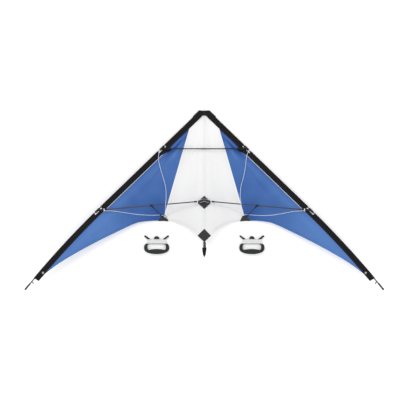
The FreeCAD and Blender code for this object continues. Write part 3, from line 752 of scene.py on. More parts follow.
def winding_turns(rng):
    """Control points of the wound line in the handle's own place, millimetres."""
    points = []
    pitch = LINE_THICKNESS / MM
    middle = sum(WINDING_LEVELS) / 2
    for layer in range(LAYERS):
        depth = (LAYERS - 1 - layer) * pitch + pitch / 2 + 0.05
        section = turn_section(WINDING_HALF - depth, (WINDING_LEVELS[1] - WINDING_LEVELS[0]) / 2 - depth)
        for turn in range(TURNS_IN_LAYER):
            lean = rng.uniform(-0.12, 0.12)
            for k, (x, z) in enumerate(section):
                travel = turn + k / len(section)
                if layer % 2:
                    travel = TURNS_IN_LAYER - travel
                y = WINDING_Y[0] + 0.35 + travel * pitch * PACKING + lean * math.sin(k * 1.3)
                points.append((x, y, middle + z))
    way_out = [(WINDING_HALF + 1.2, 37.5, 9.5), (WINDING_HALF + 2.6, 32, 11),
               (WINDING_HALF + 2.0, 26.5, 13.6)]
    return points + way_out + [LINE_END]


def windings():
    rng = random.Random(11)
    for side, _ in SIDES:
        place = handle_place(side)
        points = [(place + Vector(p)) * MM for p in winding_turns(rng)]
        line = nurbs(f"{side}_wound_line", points, LINE_THICKNESS, 2, 1)
        line.data.materials.append(FLYING_LINE)
        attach(line, f"{side}_handle")
        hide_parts(f"{side}_line_winding")


legs = bridle()
windings()

# ---- sail panels -----------------------------------------------------------------------------------

ROWS, COLUMNS = 110, 64


def outer_white(share):
    """Down the white panel's outer side: along the sleeve from the nose, then down the seam."""
    first, second = (SEAM_TOP - SAIL_NOSE).length, (STANDOFF_POINT - SEAM_TOP).length
    want = share * (first + second)
    if want < first:
        return SAIL_NOSE.lerp(SEAM_TOP, want / first)
    return SEAM_TOP.lerp(STANDOFF_POINT, (want - first) / second)


def panel_grid(inner, outer, foot):
    """Rows of cloth between an inner and an outer side, ending on the curved foot."""
    grid = []
    for row in range(ROWS + 1):
        t = row / ROWS
        left, right = inner(t), outer(t)
        line = []
        for column in range(COLUMNS + 1):
            s = column / COLUMNS
            straight = left.lerp(right, s)
            drop = foot(s) - inner(1).lerp(outer(1), s)
            place = straight + drop * t ** 4
            line.append((place.x, place.y, s, t))
        grid.append(line)
    return grid


def panel(name, grid, relief, painted_light_and_mottle):
    """The grid as cloth: its height, wrinkles, and the painted shade, painted highlights and mottle it
    carries.
    """
    verts, painted_light_and_mottle_values = [], []
    for line in grid:
        for x, y, s, t in line:
            verts.append((x, y, sail_height(x, y) + relief(x, y, s, t)))
            painted_light_and_mottle_values.append(painted_light_and_mottle(x, y, s, t))
    width = COLUMNS + 1
    faces = [(r * width + c, (r + 1) * width + c, (r + 1) * width + c + 1, r * width + c + 1)
             for r in range(ROWS) for c in range(COLUMNS)]
    piece = mesh_piece(name, verts, faces)
    attribute = piece.data.attributes.new("painted_light_and_mottle", "FLOAT", "POINT")
    attribute.data.foreach_set("value", painted_light_and_mottle_values)
    def clean(work):
        bmesh.ops.remove_doubles(work, verts=work.verts, dist=0.02)
        bmesh.ops.dissolve_degenerate(work, edges=work.edges, dist=0.01)
        if sum(face.normal.z for face in work.faces) < 0:
            bmesh.ops.reverse_faces(work, faces=work.faces)

    return reworked(piece, clean)


def hem_flutter(x, t):
    """The unsupported trailing edge lies in shallow waves."""
    return math.sin(x / 17) * 1.1 * max(0.0, (t - 0.82) / 0.18) ** 2


def white_relief(x, y, s, t):
    held = math.sin(math.pi * s)
    slow = noise.noise(Vector((x / 70, y / 110, 3.1)))
    streak = noise.noise(Vector((s * 7, y / 260, 8.7))) * (0.3 + t * (1 - t) * 3)
    inner = math.exp(-((x - 13) / 9) ** 2) * math.sin(y / 31) * 0.5
    wrinkles = (slow * 2.2 + streak * 1.5) * held ** 0.5 + inner * held ** 0.3
    return -SAG * held * t + wrinkles + hem_flutter(x, t) * held


def blue_relief(x, y, s, t):
    held = math.sin(math.pi * s)
    fan = math.exp(-((t - 0.2) / 0.2) ** 2) * math.sin(math.tau * (3.1 * s ** 0.8 + 0.15)) * 3.0
    fan += math.exp(-((t - 0.36) / 0.2) ** 2) * math.sin(math.tau * (5.2 * s + 0.4)) * 1.1
    around = math.atan2(y - STANDOFF_POINT.y, x - STANDOFF_POINT.x)
    pull = math.sin(around * 11) * 1.3 * math.exp(-((from_standoff(x, y) - 110) / 90) ** 2)
    tip = math.sin(s * 15 + t * 3) * 1.0 * math.exp(-((t - 0.85) / 0.15) ** 2)
    slow = noise.noise(Vector((x / 90, y / 90, 1.7))) * 2.4
    wrinkles = (fan + pull + tip + slow) * held ** 0.6
    return -SAG * held * 4 * t * (1 - t) * 0.9 + wrinkles + hem_flutter(x, t) * held


def bell(value, middle, spread):
    return math.exp(-((value - middle) / spread) ** 2)


def white_painted_shade_and_mottle(x, y, s, t):
    """Painted shade over random mottle: greyer down the spine's fold, beside the seams and towards the foot.
    """
    mottle = 0.2 * noise.noise(Vector((x / 60, y / 90, 5)))
    # Painted shade: greyer towards the foot, along the spine's fold and beside the seam; the noise is random
    # mottle.
    shade = 0.75 * max(0.0, t - 0.3) + 0.25 * bell(x, 0, 7) + 0.15 * bell(s, 1, 0.1)
    return min(1.0, max(0.0, 0.95 - shade + mottle))


def blue_painted_light_and_mottle(x, y, s, t):
    """Painted shade and painted highlights on the blue cloth, over random mottle: darker by the standoff's
    point and in the gathers under the sleeve, highlight streaks by the sleeve near the top, lighter out along
    the wing.
    """
    away = from_standoff(x, y)
    inward = (Vector((x, y, 0)) - NOSE_END).dot(INWARD) - SLEEVE_WIDTH
    near_top = smooth_step((y - 150) / 70)
    # Painted light: darker near the standoff's point, lighter out along the wing.
    painted_light_and_mottle = 0.30 + 0.22 * smooth_step(away / 230) + 0.36 * smooth_step((x - 300) / 170)
    # Painted shade by the standoff's point, in the gathers under the sleeve and right along its edge.
    painted_light_and_mottle -= 0.24 * bell(away, 0, 75) + 0.6 * near_top * bell(inward, 18, 10) + 0.12 * bell(inward, 0, 5)
    # Painted highlights near the top: a streak along the sleeve and one across the panel.
    painted_light_and_mottle += near_top * (0.75 * bell(inward, 7, 2.5) + 0.45 * bell(s, 0.35, 0.13))
    # Painted highlight in a band beside the sleeve.
    painted_light_and_mottle += 0.16 * bell(inward, 26, 12)
    return min(1.0, max(0.0, painted_light_and_mottle + 0.10 * noise.noise(Vector((x / 50, y / 50, 2)))))


def spine_side(share):
    return Vector((0, SAIL_NOSE.y + (SAIL_FOOT_Y - SAIL_NOSE.y) * share, 0))


def foot(path):
    """A panel's foot as a function of the share of its width."""
    return lambda share: Vector((*along_path(path, share), 0))


def seam_side(share):
    return SEAM_TOP.lerp(STANDOFF_POINT, share).xy.to_3d()


def sleeve_side(share):
    return rear_edge(SEAM_TOP_STATION + (SAIL_TIP_STATION - SEAM_TOP_STATION) * share)


white_grid = panel_grid(spine_side, lambda t: outer_white(t).xy.to_3d(), foot(WHITE_EDGE[::-1]))
blue_grid = panel_grid(seam_side, sleeve_side, foot(BLUE_EDGE))
HUB_HOLE_R = 7.5


def hub_hole(piece, radius):
    """Cut the round hole that the joiner comes through."""
    def cut(work):
        near = [v for v in work.verts if math.hypot(v.co.x, v.co.y - JOINER.y) < radius]
        bmesh.ops.delete(work, geom=near, context="VERTS")
        for vertex in work.verts:
            spoke = Vector((vertex.co.x, vertex.co.y - JOINER.y))
            if vertex.is_boundary and spoke.length < radius + 9 and vertex.co.x > 0.01:
                away = spoke.normalized() * radius
                vertex.co.x, vertex.co.y = away.x, JOINER.y + away.y

    reworked(piece, cut)


def sail_pieces():
    made = {}
    white = panel("right_white_sail", white_grid, white_relief, white_painted_shade_and_mottle)
    hub_hole(white, HUB_HOLE_R)
    blue = panel("right_blue_sail", blue_grid, blue_relief, blue_painted_light_and_mottle)
    for piece, kind, finish, slot in ((white, "white", WHITE_SAIL, "white_sailcloth"),
                                      (blue, "blue", BLUE_SAIL, "blue_sailcloth")):
        thickened(piece, 0.3)
        smooth(piece, 60)
        for side, cloth in both_sides(piece):
            dress(settle(cloth), finish)
            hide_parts(f"{side}_{kind}_panel")
            made[side, kind] = cloth
    return made


def across_spine(piece):
    """Cloth that is sewn to the spine's line: its placing is baked into its mesh."""
    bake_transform(piece)


sails = sail_pieces()

# ---- tapes, hems and patches sewn to the sail ------------------------------------------------------


def inside(point, outline):
    x, y = point
    crossings = 0
    for (x0, y0), (x1, y1) in zip(outline, outline[1:] + outline[:1]):
        if (y0 > y) != (y1 > y) and x < x0 + (y - y0) * (x1 - x0) / (y1 - y0):
            crossings += 1
    return crossings % 2 == 1


def divided(outline, spacing):
    """An outline with points no further apart than a spacing."""
    dense = []
    for here, there in zip(outline, outline[1:] + outline[:1]):
        here, there = Vector(here), Vector(there)
        steps = max(1, round((there - here).length / spacing))
        dense += [tuple(here.lerp(there, i / steps)) for i in range(steps)]
    return dense


def cut_cloth(name, outline, spacing, height, thickness):
    """A piece of cloth cut to an outline and laid on a surface."""
    edge = divided(outline, spacing)
    xs, ys = [p[0] for p in edge], [p[1] for p in edge]
    points = list(edge)
    for row in range(int((max(ys) - min(ys)) / spacing) + 1):
        for column in range(int((max(xs) - min(xs)) / spacing) + 1):
            spot = (min(xs) + (column + 0.5 * (row % 2)) * spacing, min(ys) + (row + 0.5) * spacing * 0.95)
            near = min(math.hypot(spot[0] - p[0], spot[1] - p[1]) for p in edge)
            if near > spacing * 0.5 and inside(spot, edge):
                points.append(spot)
    ring = [(i, (i + 1) % len(edge)) for i in range(len(edge))]
    verts, _, faces, _, _, _ = delaunay_2d_cdt([Vector(p) for p in points], ring, [], 1, 1e-4)
    piece = mesh_piece(name, [(v.x, v.y, height(v.x, v.y)) for v in verts], [tuple(f) for f in faces])
    if sum(polygon.normal.z for polygon in piece.data.polygons) < 0:
        piece.data.flip_normals()
    thickened(piece, thickness, 1.0)
    return smooth(piece, 50)


def strip_outline(line, half_width):
    """Outline of a tape of even width along a line."""
    points = [Vector(p).xy for p in line]
    left, right = [], []
    for i, point in enumerate(points):
        ahead = points[min(i + 1, len(points) - 1)] - points[max(i - 1, 0)]
        normal = Vector((-ahead.y, ahead.x)).normalized() * half_width
        left.append(tuple(point + normal))
        right.append(tuple(point - normal))
    return left + right[::-1]


def above_sail(lift):
    return lambda x, y: sail_height(x, y) + lift


STITCH_RINGS = ((-0.5, 0.35, 0.1), (-0.3, 1.0, 0.55), (0.3, 1.0, 0.55), (0.5, 0.35, 0.1))


def stitches(name, line, height, pitch=4.0, long=2.9, radius=0.28):
    """A row of thread: short rounded stitches lying on the cloth along a line."""
    points = [Vector(p).xy for p in line]
    verts, faces = [], []
    carried = pitch / 2
    for here, there in zip(points, points[1:]):
        run = there - here
        direction = run.normalized()
        side = Vector((-direction.y, direction.x)) * radius
        while carried < run.length:
            centre = here + direction * carried
            base = len(verts)
            for step, girth, rise in STITCH_RINGS:
                spot = centre + direction * (step * long)
                level = height(spot.x, spot.y)
                for across, up in ((-1, 0), (-0.7, 1), (0.7, 1), (1, 0)):
                    p = spot + side * (across * girth)
                    verts.append((p.x, p.y, level + up * rise * radius * 2 - 0.05))
            faces += [tuple(base + k for k in face) for face in net(4, 4, True)]
            faces += [tuple(base + k for k in (3, 2, 1, 0)), tuple(base + 12 + k for k in (0, 1, 2, 3))]
            carried += pitch
        carried -= run.length
    return turned_out(mesh_piece(name, verts, faces))


sail_extras = {"left": [], "right": []}


def sewn(piece, finish, node=None, spine=False):
    """Dress the right wing's piece and its mirrored copy, and hang each on its wing's body; pieces that cross
    the spine only have their placing baked in.
    """
    for side, cloth in both_sides(piece):
        dress(settle(cloth), finish)
        if node:
            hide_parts(f"{side}_{node}")
        if spine:
            across_spine(cloth)
        else:
            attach(cloth, f"{side}_wing")
        sail_extras[side].append(cloth)


def offset_in(line, distance):
    """A line moved sideways, to the left of its own direction."""
    points = [Vector(p).xy for p in line]
    out = []
    for i, point in enumerate(points):
        ahead = points[min(i + 1, len(points) - 1)] - points[max(i - 1, 0)]
        out.append(tuple(point + Vector((-ahead.y, ahead.x)).normalized() * distance))
    return out


def dense_path(points, count):
    return [tuple(along_path(points, i / count)) for i in range(count + 1)]


HEM = 9.0
seam_line = [tuple(SEAM_TOP.lerp(STANDOFF_POINT, i / 40).xy) for i in range(41)]
white_foot_line = dense_path(WHITE_EDGE[::-1], 30)
blue_foot_line = dense_path(BLUE_EDGE, 70)


def folded_hem(kind, line, finish, thread):
    middle = offset_in(line, HEM / 2)
    tape = cut_cloth(f"right_{kind}", strip_outline(middle, HEM / 2 - 0.2), 5.0, above_sail(0.12), 0.25)
    # The hem carries the blue panel's painted shade and painted highlights, on the white hem as on the blue.
    painted_light_and_mottle_values = tape.data.attributes.new("painted_light_and_mottle", "FLOAT", "POINT")
    painted_light_and_mottle_values.data.foreach_set("value", [blue_painted_light_and_mottle(v.co.x, v.co.y, 0.5, 1.0) for v in tape.data.vertices])
    sewn(tape, finish)
    sewn(stitches(f"right_{kind}_stitches", offset_in(line, HEM - 2), above_sail(0.4)), thread)


def seam_tape():
    line = seam_line[:-2]
    tape = cut_cloth("right_seam_tape", strip_outline(line, 3.6), 5.0, above_sail(0.25), 0.25)
    sewn(tape, SEAM_TAPE_AND_HIGHLIGHT)
    for offset, label in ((2.4, "outer"), (-2.4, "inner")):
        rows = stitches(f"right_seam_{label}_stitches", offset_in(line, offset), above_sail(0.55))
        sewn(rows, WHITE_THREAD)


def patch(kind, outline, spacing, lift, node=None, spine=False):
    cloth = cut_cloth(f"right_{kind}", outline, spacing, above_sail(lift), 0.5)
    sewn(cloth, PATCH_CLOTH, node, spine)


def patch_thread(kind, line, lift, pitch, long, thread, spine=False):
    rows = stitches(f"right_{kind}_stitches", line, above_sail(lift), pitch, long, 0.22)
    sewn(rows, thread, None, spine)


def patches():
    notch = [(HUB_HOLE_R * math.sin(a), JOINER.y - HUB_HOLE_R * math.cos(a)) for a in
             (math.pi * i / 14 for i in range(15))]
    diamond = [(0.0, 15.0), (32.0, -15.0), (0.0, -45.0)] + notch
    patch("centre_diamond", diamond[::-1], 3.0, 0.3, "center_patch", True)
    inner = [(1.0, 11.5), (28.5, -15.0), (1.0, -41.5)]
    patch_thread("centre_diamond", inner, 0.85, 3.2, 2.3, WHITE_THREAD, True)
    patch("tail_diamond", [(0.0, -193.0), (30.0, -163.0), (0.0, -133.0)], 3.0, 0.4, "tail_patch", True)
    patch("tail_backing", [(7.0, -186.0), (30.0, -163.0), (7.0, -140.0)], 3.0, -1.2, None, True)
    tail_line = [(1.0, -137.0), (27.0, -163.0), (1.0, -189.0)]
    patch_thread("tail_diamond", tail_line, 0.95, 3.2, 2.3, BLACK_THREAD, True)
    edge = [(173, -70), (183, -70), (208, -92), (206, -95.8), (183, -95.6), (160, -97.6)]
    patch("edge_patch_front", edge, 2.5, 0.35, "te_patch")
    patch("edge_patch_back", edge, 2.5, -1.3)
    inset = [(174, -73), (182, -73), (204, -92), (202, -93.6), (183, -93.4), (163.5, -95)]
    patch_thread("edge_patch", inset + inset[:1], 0.9, 3.0, 2.2, BLACK_THREAD)


def fitting_wedges():
    """Black reinforcement on the sail beside each upper fitting."""
    outline = [(189, 199), (158, 229.5), (146, 222), (160, 213)]
    wedge = cut_cloth("right_fitting_wedge", outline, 3.0, above_sail(0.35), 0.5)
    sewn(wedge, SLEEVE_TAPE)


seam_tape()
folded_hem("white_hem", white_foot_line, WHITE_SAIL, WHITE_THREAD)
folded_hem("blue_hem", blue_foot_line[1:-2], BLUE_SAIL, BLACK_THREAD)
patches()
fitting_wedges()

# ---- leading edge ------------------------------------------------------------------------------------------

SLEEVE_REAR_HALF = 0.9
WINDOWS = ((UPPER_STATION + 4, 22), (LOWER_STATION, 21))
WINDOW_REACH = 8.0


def sleeve_profile():
    """The tape's section as (inward, up): from the rear fold over the rod and back underneath."""
    lean = math.asin((SLEEVE_R - SLEEVE_REAR_HALF) / SLEEVE_WIDTH)
    touch = Vector((SLEEVE_R * math.sin(lean), SLEEVE_R * math.cos(lean)))
    rear = Vector((SLEEVE_WIDTH + 0.4, SLEEVE_REAR_HALF))
    top = [tuple(rear.lerp(touch, i / 8)) for i in range(8)]
    top = [(u, v) for u, v in top if abs(u - WINDOW_REACH) > 0.8] + [(WINDOW_REACH, 0.0)]
    slope = (touch.y - rear.y) / (rear.x - touch.x)
    top = sorted(((u, rear.y + (rear.x - u) * slope) for u, _ in top), reverse=True)
    start = math.pi / 2 - lean
    around = [start + (2 * math.pi - 2 * start) * i / 22 for i in range(23)]
    bend = [(SLEEVE_R * math.cos(a), SLEEVE_R * math.sin(a)) for a in around]
    return top + bend + [(u, -v) for u, v in reversed(top)]


def le_sleeve():
    profile = sleeve_profile()
    stations = [SLEEVE_END * i / 260 for i in range(261)]
    for middle, half in WINDOWS:
        for edge in (middle - half, middle + half):
            nearest = min(range(len(stations)), key=lambda i: abs(stations[i] - edge))
            stations[nearest] = edge
    verts, faces = [], []
    for station in stations:
        for k, (u, v) in enumerate(profile):
            slant = 4 * max(0.0, u) / SLEEVE_WIDTH * max(0.0, (station - SLEEVE_END + 60) / 60)
            point, _, normal = edge_frame(station - slant)
            pucker = noise.noise(Vector((station / 26, u / 7, v))) * 0.35 + math.sin(station / 1.9) * 0.05
            verts.append(point + normal * u + UP * v * (1 + pucker * (0.16 if u > 2 else 0.05)))
    count = len(profile)
    for row in range(len(stations) - 1):
        middle = (stations[row] + stations[row + 1]) / 2
        open_here = any(abs(middle - at) < half for at, half in WINDOWS)
        for k in range(count):
            ahead = (k + 1) % count
            if open_here and max(profile[k][0], profile[ahead][0]) < WINDOW_REACH + 0.1:
                continue
            row_start, next_row = row * count, (row + 1) * count
            faces.append((row_start + k, row_start + ahead, next_row + ahead, next_row + k))
    sleeve = mesh_piece("right_edge_sleeve", verts, faces)

    def clean(work):
        bmesh.ops.recalc_face_normals(work, faces=work.faces)
        bmesh.ops.delete(work, geom=[v for v in work.verts if not v.link_faces], context="VERTS")
        outer = max(work.faces, key=lambda f: f.calc_center_median().z)
        if outer.normal.z < 0:
            bmesh.ops.reverse_faces(work, faces=work.faces)

    reworked(sleeve, clean)
    thickened(sleeve, 0.45)
    return smooth(sleeve, 50)


def edge_line(start, end, inward, step=6.0):
    """A line that keeps a distance inward from the rod."""
    count = round((end - start) / step)
    line = []
    for i in range(count + 1):
        point, _, normal = edge_frame(start + (end - start) * i / count)
        line.append((point + normal * inward).xy)
    return line


def leading_edges():
    sewn(le_sleeve(), SLEEVE_TAPE, "le_sleeve")
    line = edge_line(30, SLEEVE_END - 20, 19.6)
    rows = stitches("right_sleeve_stitches", line, lambda x, y: 1.25, 4.2, 3.0, 0.25)
    sewn(rows, BLACK_THREAD)
    # Painted highlight: a thin bright strip along each sleeve's rear edge, where the sail's fold catches the
    # light.
    line = edge_line(UPPER_STATION + 20, LOWER_STATION - 16, 23.1)
    painted_highlight_strip = cut_cloth("right_sleeve_piping", strip_outline(line, 0.75), 6.0, lambda x, y: 0.25, 0.5)
    sewn(painted_highlight_strip, SEAM_TAPE_AND_HIGHLIGHT)


def nose():
    """Folded webbing sewn over the two sleeves' ends."""
    top = Vector((23, 398))
    low = top + TANGENT.xy * 40
    inner = low + INWARD.xy * 28
    outline = [(0.0, 398.0), tuple(top), tuple(low), tuple(inner), (7.0, 376.0), (0.0, 376.0)]

    def drape(x, y):
        u = (Vector((x, y, 0)) - NOSE_END).dot(INWARD)
        return 4.6 - max(0.0, u - 4) * 0.10

    front = cut_cloth("right_nose_front", outline[::-1], 2.5, drape, 1.3)
    outline_back = [(12.0, 398.0), tuple(top), tuple(low), tuple(inner), (12.0, 371.0)]
    back = cut_cloth("right_nose_back", outline_back[::-1], 2.5, lambda x, y: -5.9, 1.3)
    edge = [tuple(Vector((12, 398)).lerp(top, i / 4)) for i in range(4)]
    edge += [tuple(top.lerp(low, i / 12)) for i in range(13)]
    verts = []
    for x, y in edge:
        for step in range(9):
            a = math.pi / 2 - math.pi * step / 8
            bulge = 1.6 * math.cos(a)
            verts.append((x + 0.7 * bulge * 0.7, y + 0.7 * bulge * 0.7, 5.2 * math.sin(a) + 0.05))
    fold = thickened(mesh_piece("right_nose_fold", verts, net(len(edge), 9)), 1.2, 0.0)
    whole = joined([front, back, smooth(fold, 60)], "right_nose_tape")
    sewn(whole, NOSE_TAPE, "nose_webbing")
    inset = [(2.0, 395.0), (22.0, 395.0), tuple(low + INWARD.xy * 3 - TANGENT.xy * 2.5),
             tuple(inner - INWARD.xy * 2.5 - TANGENT.xy * 2.5), (7.5, 379.0), (2.0, 379.0)]
    line = divided(inset, 8) + [inset[0]]
    rows = stitches("right_nose_stitches", line, lambda x, y: drape(x, y) + 1.35, 3.4, 2.5, 0.3)
    sewn(rows, BLACK_THREAD)


def tube_mesh(name, points, radii, sides=14):
    """A closed tube through points given in the kite's frame, with a girth for each point."""
    verts = []
    across = None
    for i, point in enumerate(points):
        behind, before = Vector(points[max(i - 1, 0)]), Vector(points[min(i + 1, len(points) - 1)])
        ahead = (before - behind).normalized()
        across = (across - ahead * across.dot(ahead)) if across else ahead.orthogonal()
        across.normalize()
        side = ahead.cross(across)
        for k in range(sides):
            a = math.tau * k / sides
            verts.append(Vector(point) + (across * math.cos(a) + side * math.sin(a)) * radii[i])
    faces = net(len(points), sides, True)
    faces.append(tuple(reversed(range(sides))))
    faces.append(tuple((len(points) - 1) * sides + k for k in range(sides)))
    return smooth(turned_out(mesh_piece(name, verts, faces)), 50)


def smooth_path(points, count):
    return [along_path(points, i / count) for i in range(count + 1)]


def moulded_tube(name, start, end, girths, sides=28):
    """A moulded tube drawn out ring by ring, its girth changing at stated distances along it."""
    start, end = Vector(start), Vector(end)
    nothing_selected()
    bpy.ops.mesh.primitive_circle_add(vertices=sides, radius=girths[0][1], fill_type="NGON",
                                      location=(0, 0, girths[0][0]))
    tube = bpy.context.object
    bpy.ops.object.transform_apply(location=True, rotation=False, scale=False)
    bpy.ops.object.mode_set(mode="EDIT")
    bpy.ops.mesh.select_all(action="SELECT")
    for (low, old_girth), (high, new_girth) in zip(girths, girths[1:]):
        bpy.ops.mesh.extrude_region_move(TRANSFORM_OT_translate={"value": (0, 0, high - low)})
        grow = new_girth / old_girth
        bpy.ops.transform.resize(value=(grow, grow, 1), center_override=(0, 0, high))
    bpy.ops.object.mode_set(mode="OBJECT")
    tube.name = name
    turn = (end - start).to_track_quat("Z", "Y").to_matrix().to_4x4()
    tube.data.transform(Matrix.Translation(start) @ turn)
    return smooth(turned_out(tube), 50)


TENSION_CORD_R = 1.4


def wing_tips():
    """Nock on the rod's end, and the knotted cord that pulls the sleeve out to it."""
    tip, tangent, normal = edge_frame(EDGE_LENGTH)
    along = [(-28, 2.6), (-28, 3.7), (-27, 4.0), (-16, 4.0), (0, 4.0), (1.2, 3.9), (2.0, 3.3), (3.0, 3.0),
             (4.0, 3.3), (4.8, 3.9), (6.0, 4.0), (8.2, 3.4), (9.6, 2.0), (10.0, 0.6)]
    cap = moulded_tube("right_rod_nock", tip - tangent * 28, tip, [(s + 28, r) for s, r in along])
    sewn(cap, VINYL, "tip_nock")
    strands = []
    for level in (1, -1):
        route = [edge_frame(SLEEVE_END - 10)[0] + UP * level * 3.4 + normal * 1.8,
                 edge_frame(SLEEVE_END + 6)[0] + UP * level * 4.6 + normal * 0.8,
                 edge_frame(EDGE_LENGTH - 30)[0] + UP * level * 5.4,
                 edge_frame(EDGE_LENGTH - 6)[0] + UP * level * 5.3, tip + tangent * 2.4 + UP * level * 4.4]
        path = smooth_path([tuple(p) for p in route], 24)
        strands.append(tube_mesh("strand", path, [TENSION_CORD_R] * 25, 10))
    strands.append(loop_of_cord("turn", tip + tangent * 3, tangent, 4.2, 1.1))
    knot_at = edge_frame(EDGE_LENGTH - 38)[0] + UP * 6.2 + normal * 1.6
    strands.append(overhand_knot("knot", knot_at, tangent, 2.7, TENSION_CORD_R))
    for reach, lean in ((13, 0.6), (9, -0.5)):
        tag = [tuple(knot_at + normal * s + tangent * lean * s * 0.3 + UP * 0.1 * math.sin(s)) for s in
               (0, reach * 0.3, reach * 0.65, reach)]
        strands.append(tube_mesh("tag", smooth_path(tag, 12), [TENSION_CORD_R] * 12 + [1.1], 10))
    sewn(joined(strands, "right_tension_cord"), BLACK_CORD, "tip_tension_cord")


leading_edges()
nose()
wing_tips()

# ---- fittings ----------------------------------------------------------------------------------------------

FITTING_R = 5.4
ARM_R = 4.5
UPPER_SPREADER_Y = 225
LOWER_SPREADER_END = Vector((462, -50, SPREADER_LEVEL))
SPREADER_AXIS = (LOWER_SPREADER_END - JOINER).normalized()


def on_spreader(x):
    return JOINER + SPREADER_AXIS * (x / SPREADER_AXIS.x)


def grip(name, station, length=26.0):
    """The sleeve of a fitting round the leading-edge rod, with rounded lips and shallow ribs."""
    point, tangent, _ = edge_frame(station)
    lip = [(0, FITTING_R - 0.9), (0.4, FITTING_R - 0.4), (1.0, FITTING_R)]
    girths = [(0, ROD_R + 0.1)] + lip
    for i in range(4):
        at = 5 + i * (length - 10) / 3
        for reach, depth in ((-1.1, 0), (-0.5, 0.45), (0.5, 0.45), (1.1, 0)):
            girths.append((at + reach, FITTING_R - depth))
    girths += [(length - s, r) for s, r in reversed(lip)] + [(length, ROD_R + 0.1)]
    start = point - tangent * length / 2
    return moulded_tube(name, start, start + tangent * length, girths)


def snap_channel():
    """The arm of the upper fitting: a tapering tube, open along its front so that the spreader snaps in."""
    stations = [148, 149, 152, 165, 178, 184, 188, 190.5, 191]
    radii = [3.6, 4.0, 4.2, 4.6, 5.0, 5.3, 5.4, 4.9, 4.2]
    opening = math.radians(48)
    steps = 22
    verts, faces = [], []
    for x, outer in zip(stations, radii):
        for k in range(steps + 1):
            a = math.pi / 2 + opening + (math.tau - 2 * opening) * k / steps
            for r in (outer, ROD_R + 0.08):
                verts.append((x, UPPER_SPREADER_Y + r * math.cos(a), SPREADER_LEVEL + r * math.sin(a)))
    ring = 2 * (steps + 1)
    for i in range(len(stations) - 1):
        for k in range(steps):
            a = i * ring + 2 * k
            faces.append((a, a + 2, a + 2 + ring, a + ring))
            faces.append((a + 1, a + 1 + ring, a + 3 + ring, a + 3))
        for k in (0, steps):
            a = i * ring + 2 * k
            faces.append((a, a + ring, a + ring + 1, a + 1))
    for i in (0, len(stations) - 1):
        for k in range(steps):
            a = i * ring + 2 * k
            faces.append((a, a + 1, a + 3, a + 2))
    return smooth(turned_out(mesh_piece("snap channel", verts, faces)), 45)


def upper_fittings():
    body = grip("upper grip", UPPER_STATION)
    on_rod = edge_frame(UPPER_STATION)[0] + Vector((-2, 0, 0.6))
    web = bar("web", (184, UPPER_SPREADER_Y, 4.6), tuple(on_rod), 4.1, 20)
    fitting = joined([body, web, snap_channel()], "right_upper_connector")
    sewn(fitting, VINYL, "upper_fitting")


def lower_fittings():
    body = grip("lower grip", LOWER_STATION)
    r = ARM_R + 0.1
    inner = LOWER_SPREADER_END - SPREADER_AXIS * 28
    outer = LOWER_SPREADER_END + SPREADER_AXIS * 12
    girths = [(0, ROD_R + 0.1), (0, r - 1.0), (0.5, r - 0.4), (1.2, r - 0.2), (10, r - 0.1), (28, r), (37, r),
              (40, r), (42.5, r - 0.9), (44.0, r - 2.2), (44.6, r - 3.8)]
    arm = moulded_tube("arm", inner, outer, girths)
    fitting = joined([body, arm], "right_lower_connector")
    sewn(fitting, VINYL, "lower_fitting")


def over_the_hub(piece):
    """What crosses the hub: its placing is baked into its mesh."""
    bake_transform(piece)


def joiner():
    """Flexible cross tube over the spine's hub, one half for each wing, and light grey cords over it that
    give the painted highlights along the bent tube's edges.
    """
    end = 46 / SPREADER_AXIS.x
    girths = [(0, 5.1), (4, 5.1), (7, 5.0), (9, 4.6), (12, 4.3), (17, 4.2), (24, 4.1), (end - 5, 3.6),
              (end - 1, 3.5), (end - 0.3, 3.2), (end, 2.9), (end, ROD_R + 0.05)]
    tube = moulded_tube("right_joiner_tube", JOINER, on_spreader(46), girths, 32)
    # Two light grey cords along the tube's upper and lower sides: painted highlights in the form of cord.
    strands = []
    for route in ([(0, 8.4, 1.2), (8, 7.6, 1.6), (16, 5.4, 2.6), (26, 3.6, 3.4)],
                  [(0, -1.5, 5.9), (8, -4.6, 4.6), (15, -6.8, 1.2), (25, -4.8, -2.2)]):
        points = [JOINER + Vector(p) for p in route]
        strands.append(tube_mesh("strand", smooth_path(points, 24), [CORD_R] * 25, 10))
    highlight_cords = joined(strands, "right_centre_lashing")
    for piece, finish, slot, node in ((tube, JOINER_VINYL, "vinyl_fitting", "joiner_arm"),
                                      (highlight_cords, HIGHLIGHT_GREY_CORD, "white_cord", None)):
        for side, half in both_sides(piece):
            dress(settle(half), finish)
            if node:
                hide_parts(f"{side}_{node}")
            over_the_hub(half)


def hub():
    """The joiner's saddle: it grips the spine behind the sail and carries the cross tube in front."""
    spine_at = Vector((0, JOINER.y, SPINE_LEVEL))
    girths = [(0, 2.8), (0, 4.2), (0.6, 4.9), (1.6, 5.2), (22.4, 5.2), (23.4, 4.9), (24, 4.2), (24, 2.8)]
    saddle = moulded_tube("saddle", spine_at - Vector((0, 12, 0)), spine_at + Vector((0, 12, 0)), girths)
    nothing_selected()
    bpy.ops.mesh.primitive_cube_add(size=1)
    stem = bpy.context.object
    bpy.ops.object.mode_set(mode="EDIT")
    bpy.ops.transform.resize(value=(9, 10, SPREADER_LEVEL - SPINE_LEVEL), center_override=(0, 0, 0))
    bpy.ops.object.mode_set(mode="OBJECT")
    stem.data.transform(Matrix.Translation(Vector((0, JOINER.y, (SPREADER_LEVEL + SPINE_LEVEL) / 2))))
    bevelled(stem, 1.2, 3)
    piece = joined([saddle, stem], "joiner_saddle")
    fitted(smooth(piece, 45), VINYL, "spine_frame", "joiner_hub")


CLIP_CENTRE = on_spreader(236)
STANDOFF_FOOT = Vector((189, -76, -37.2))
STANDOFF_AXIS = (STANDOFF_FOOT - CLIP_CENTRE).normalized()


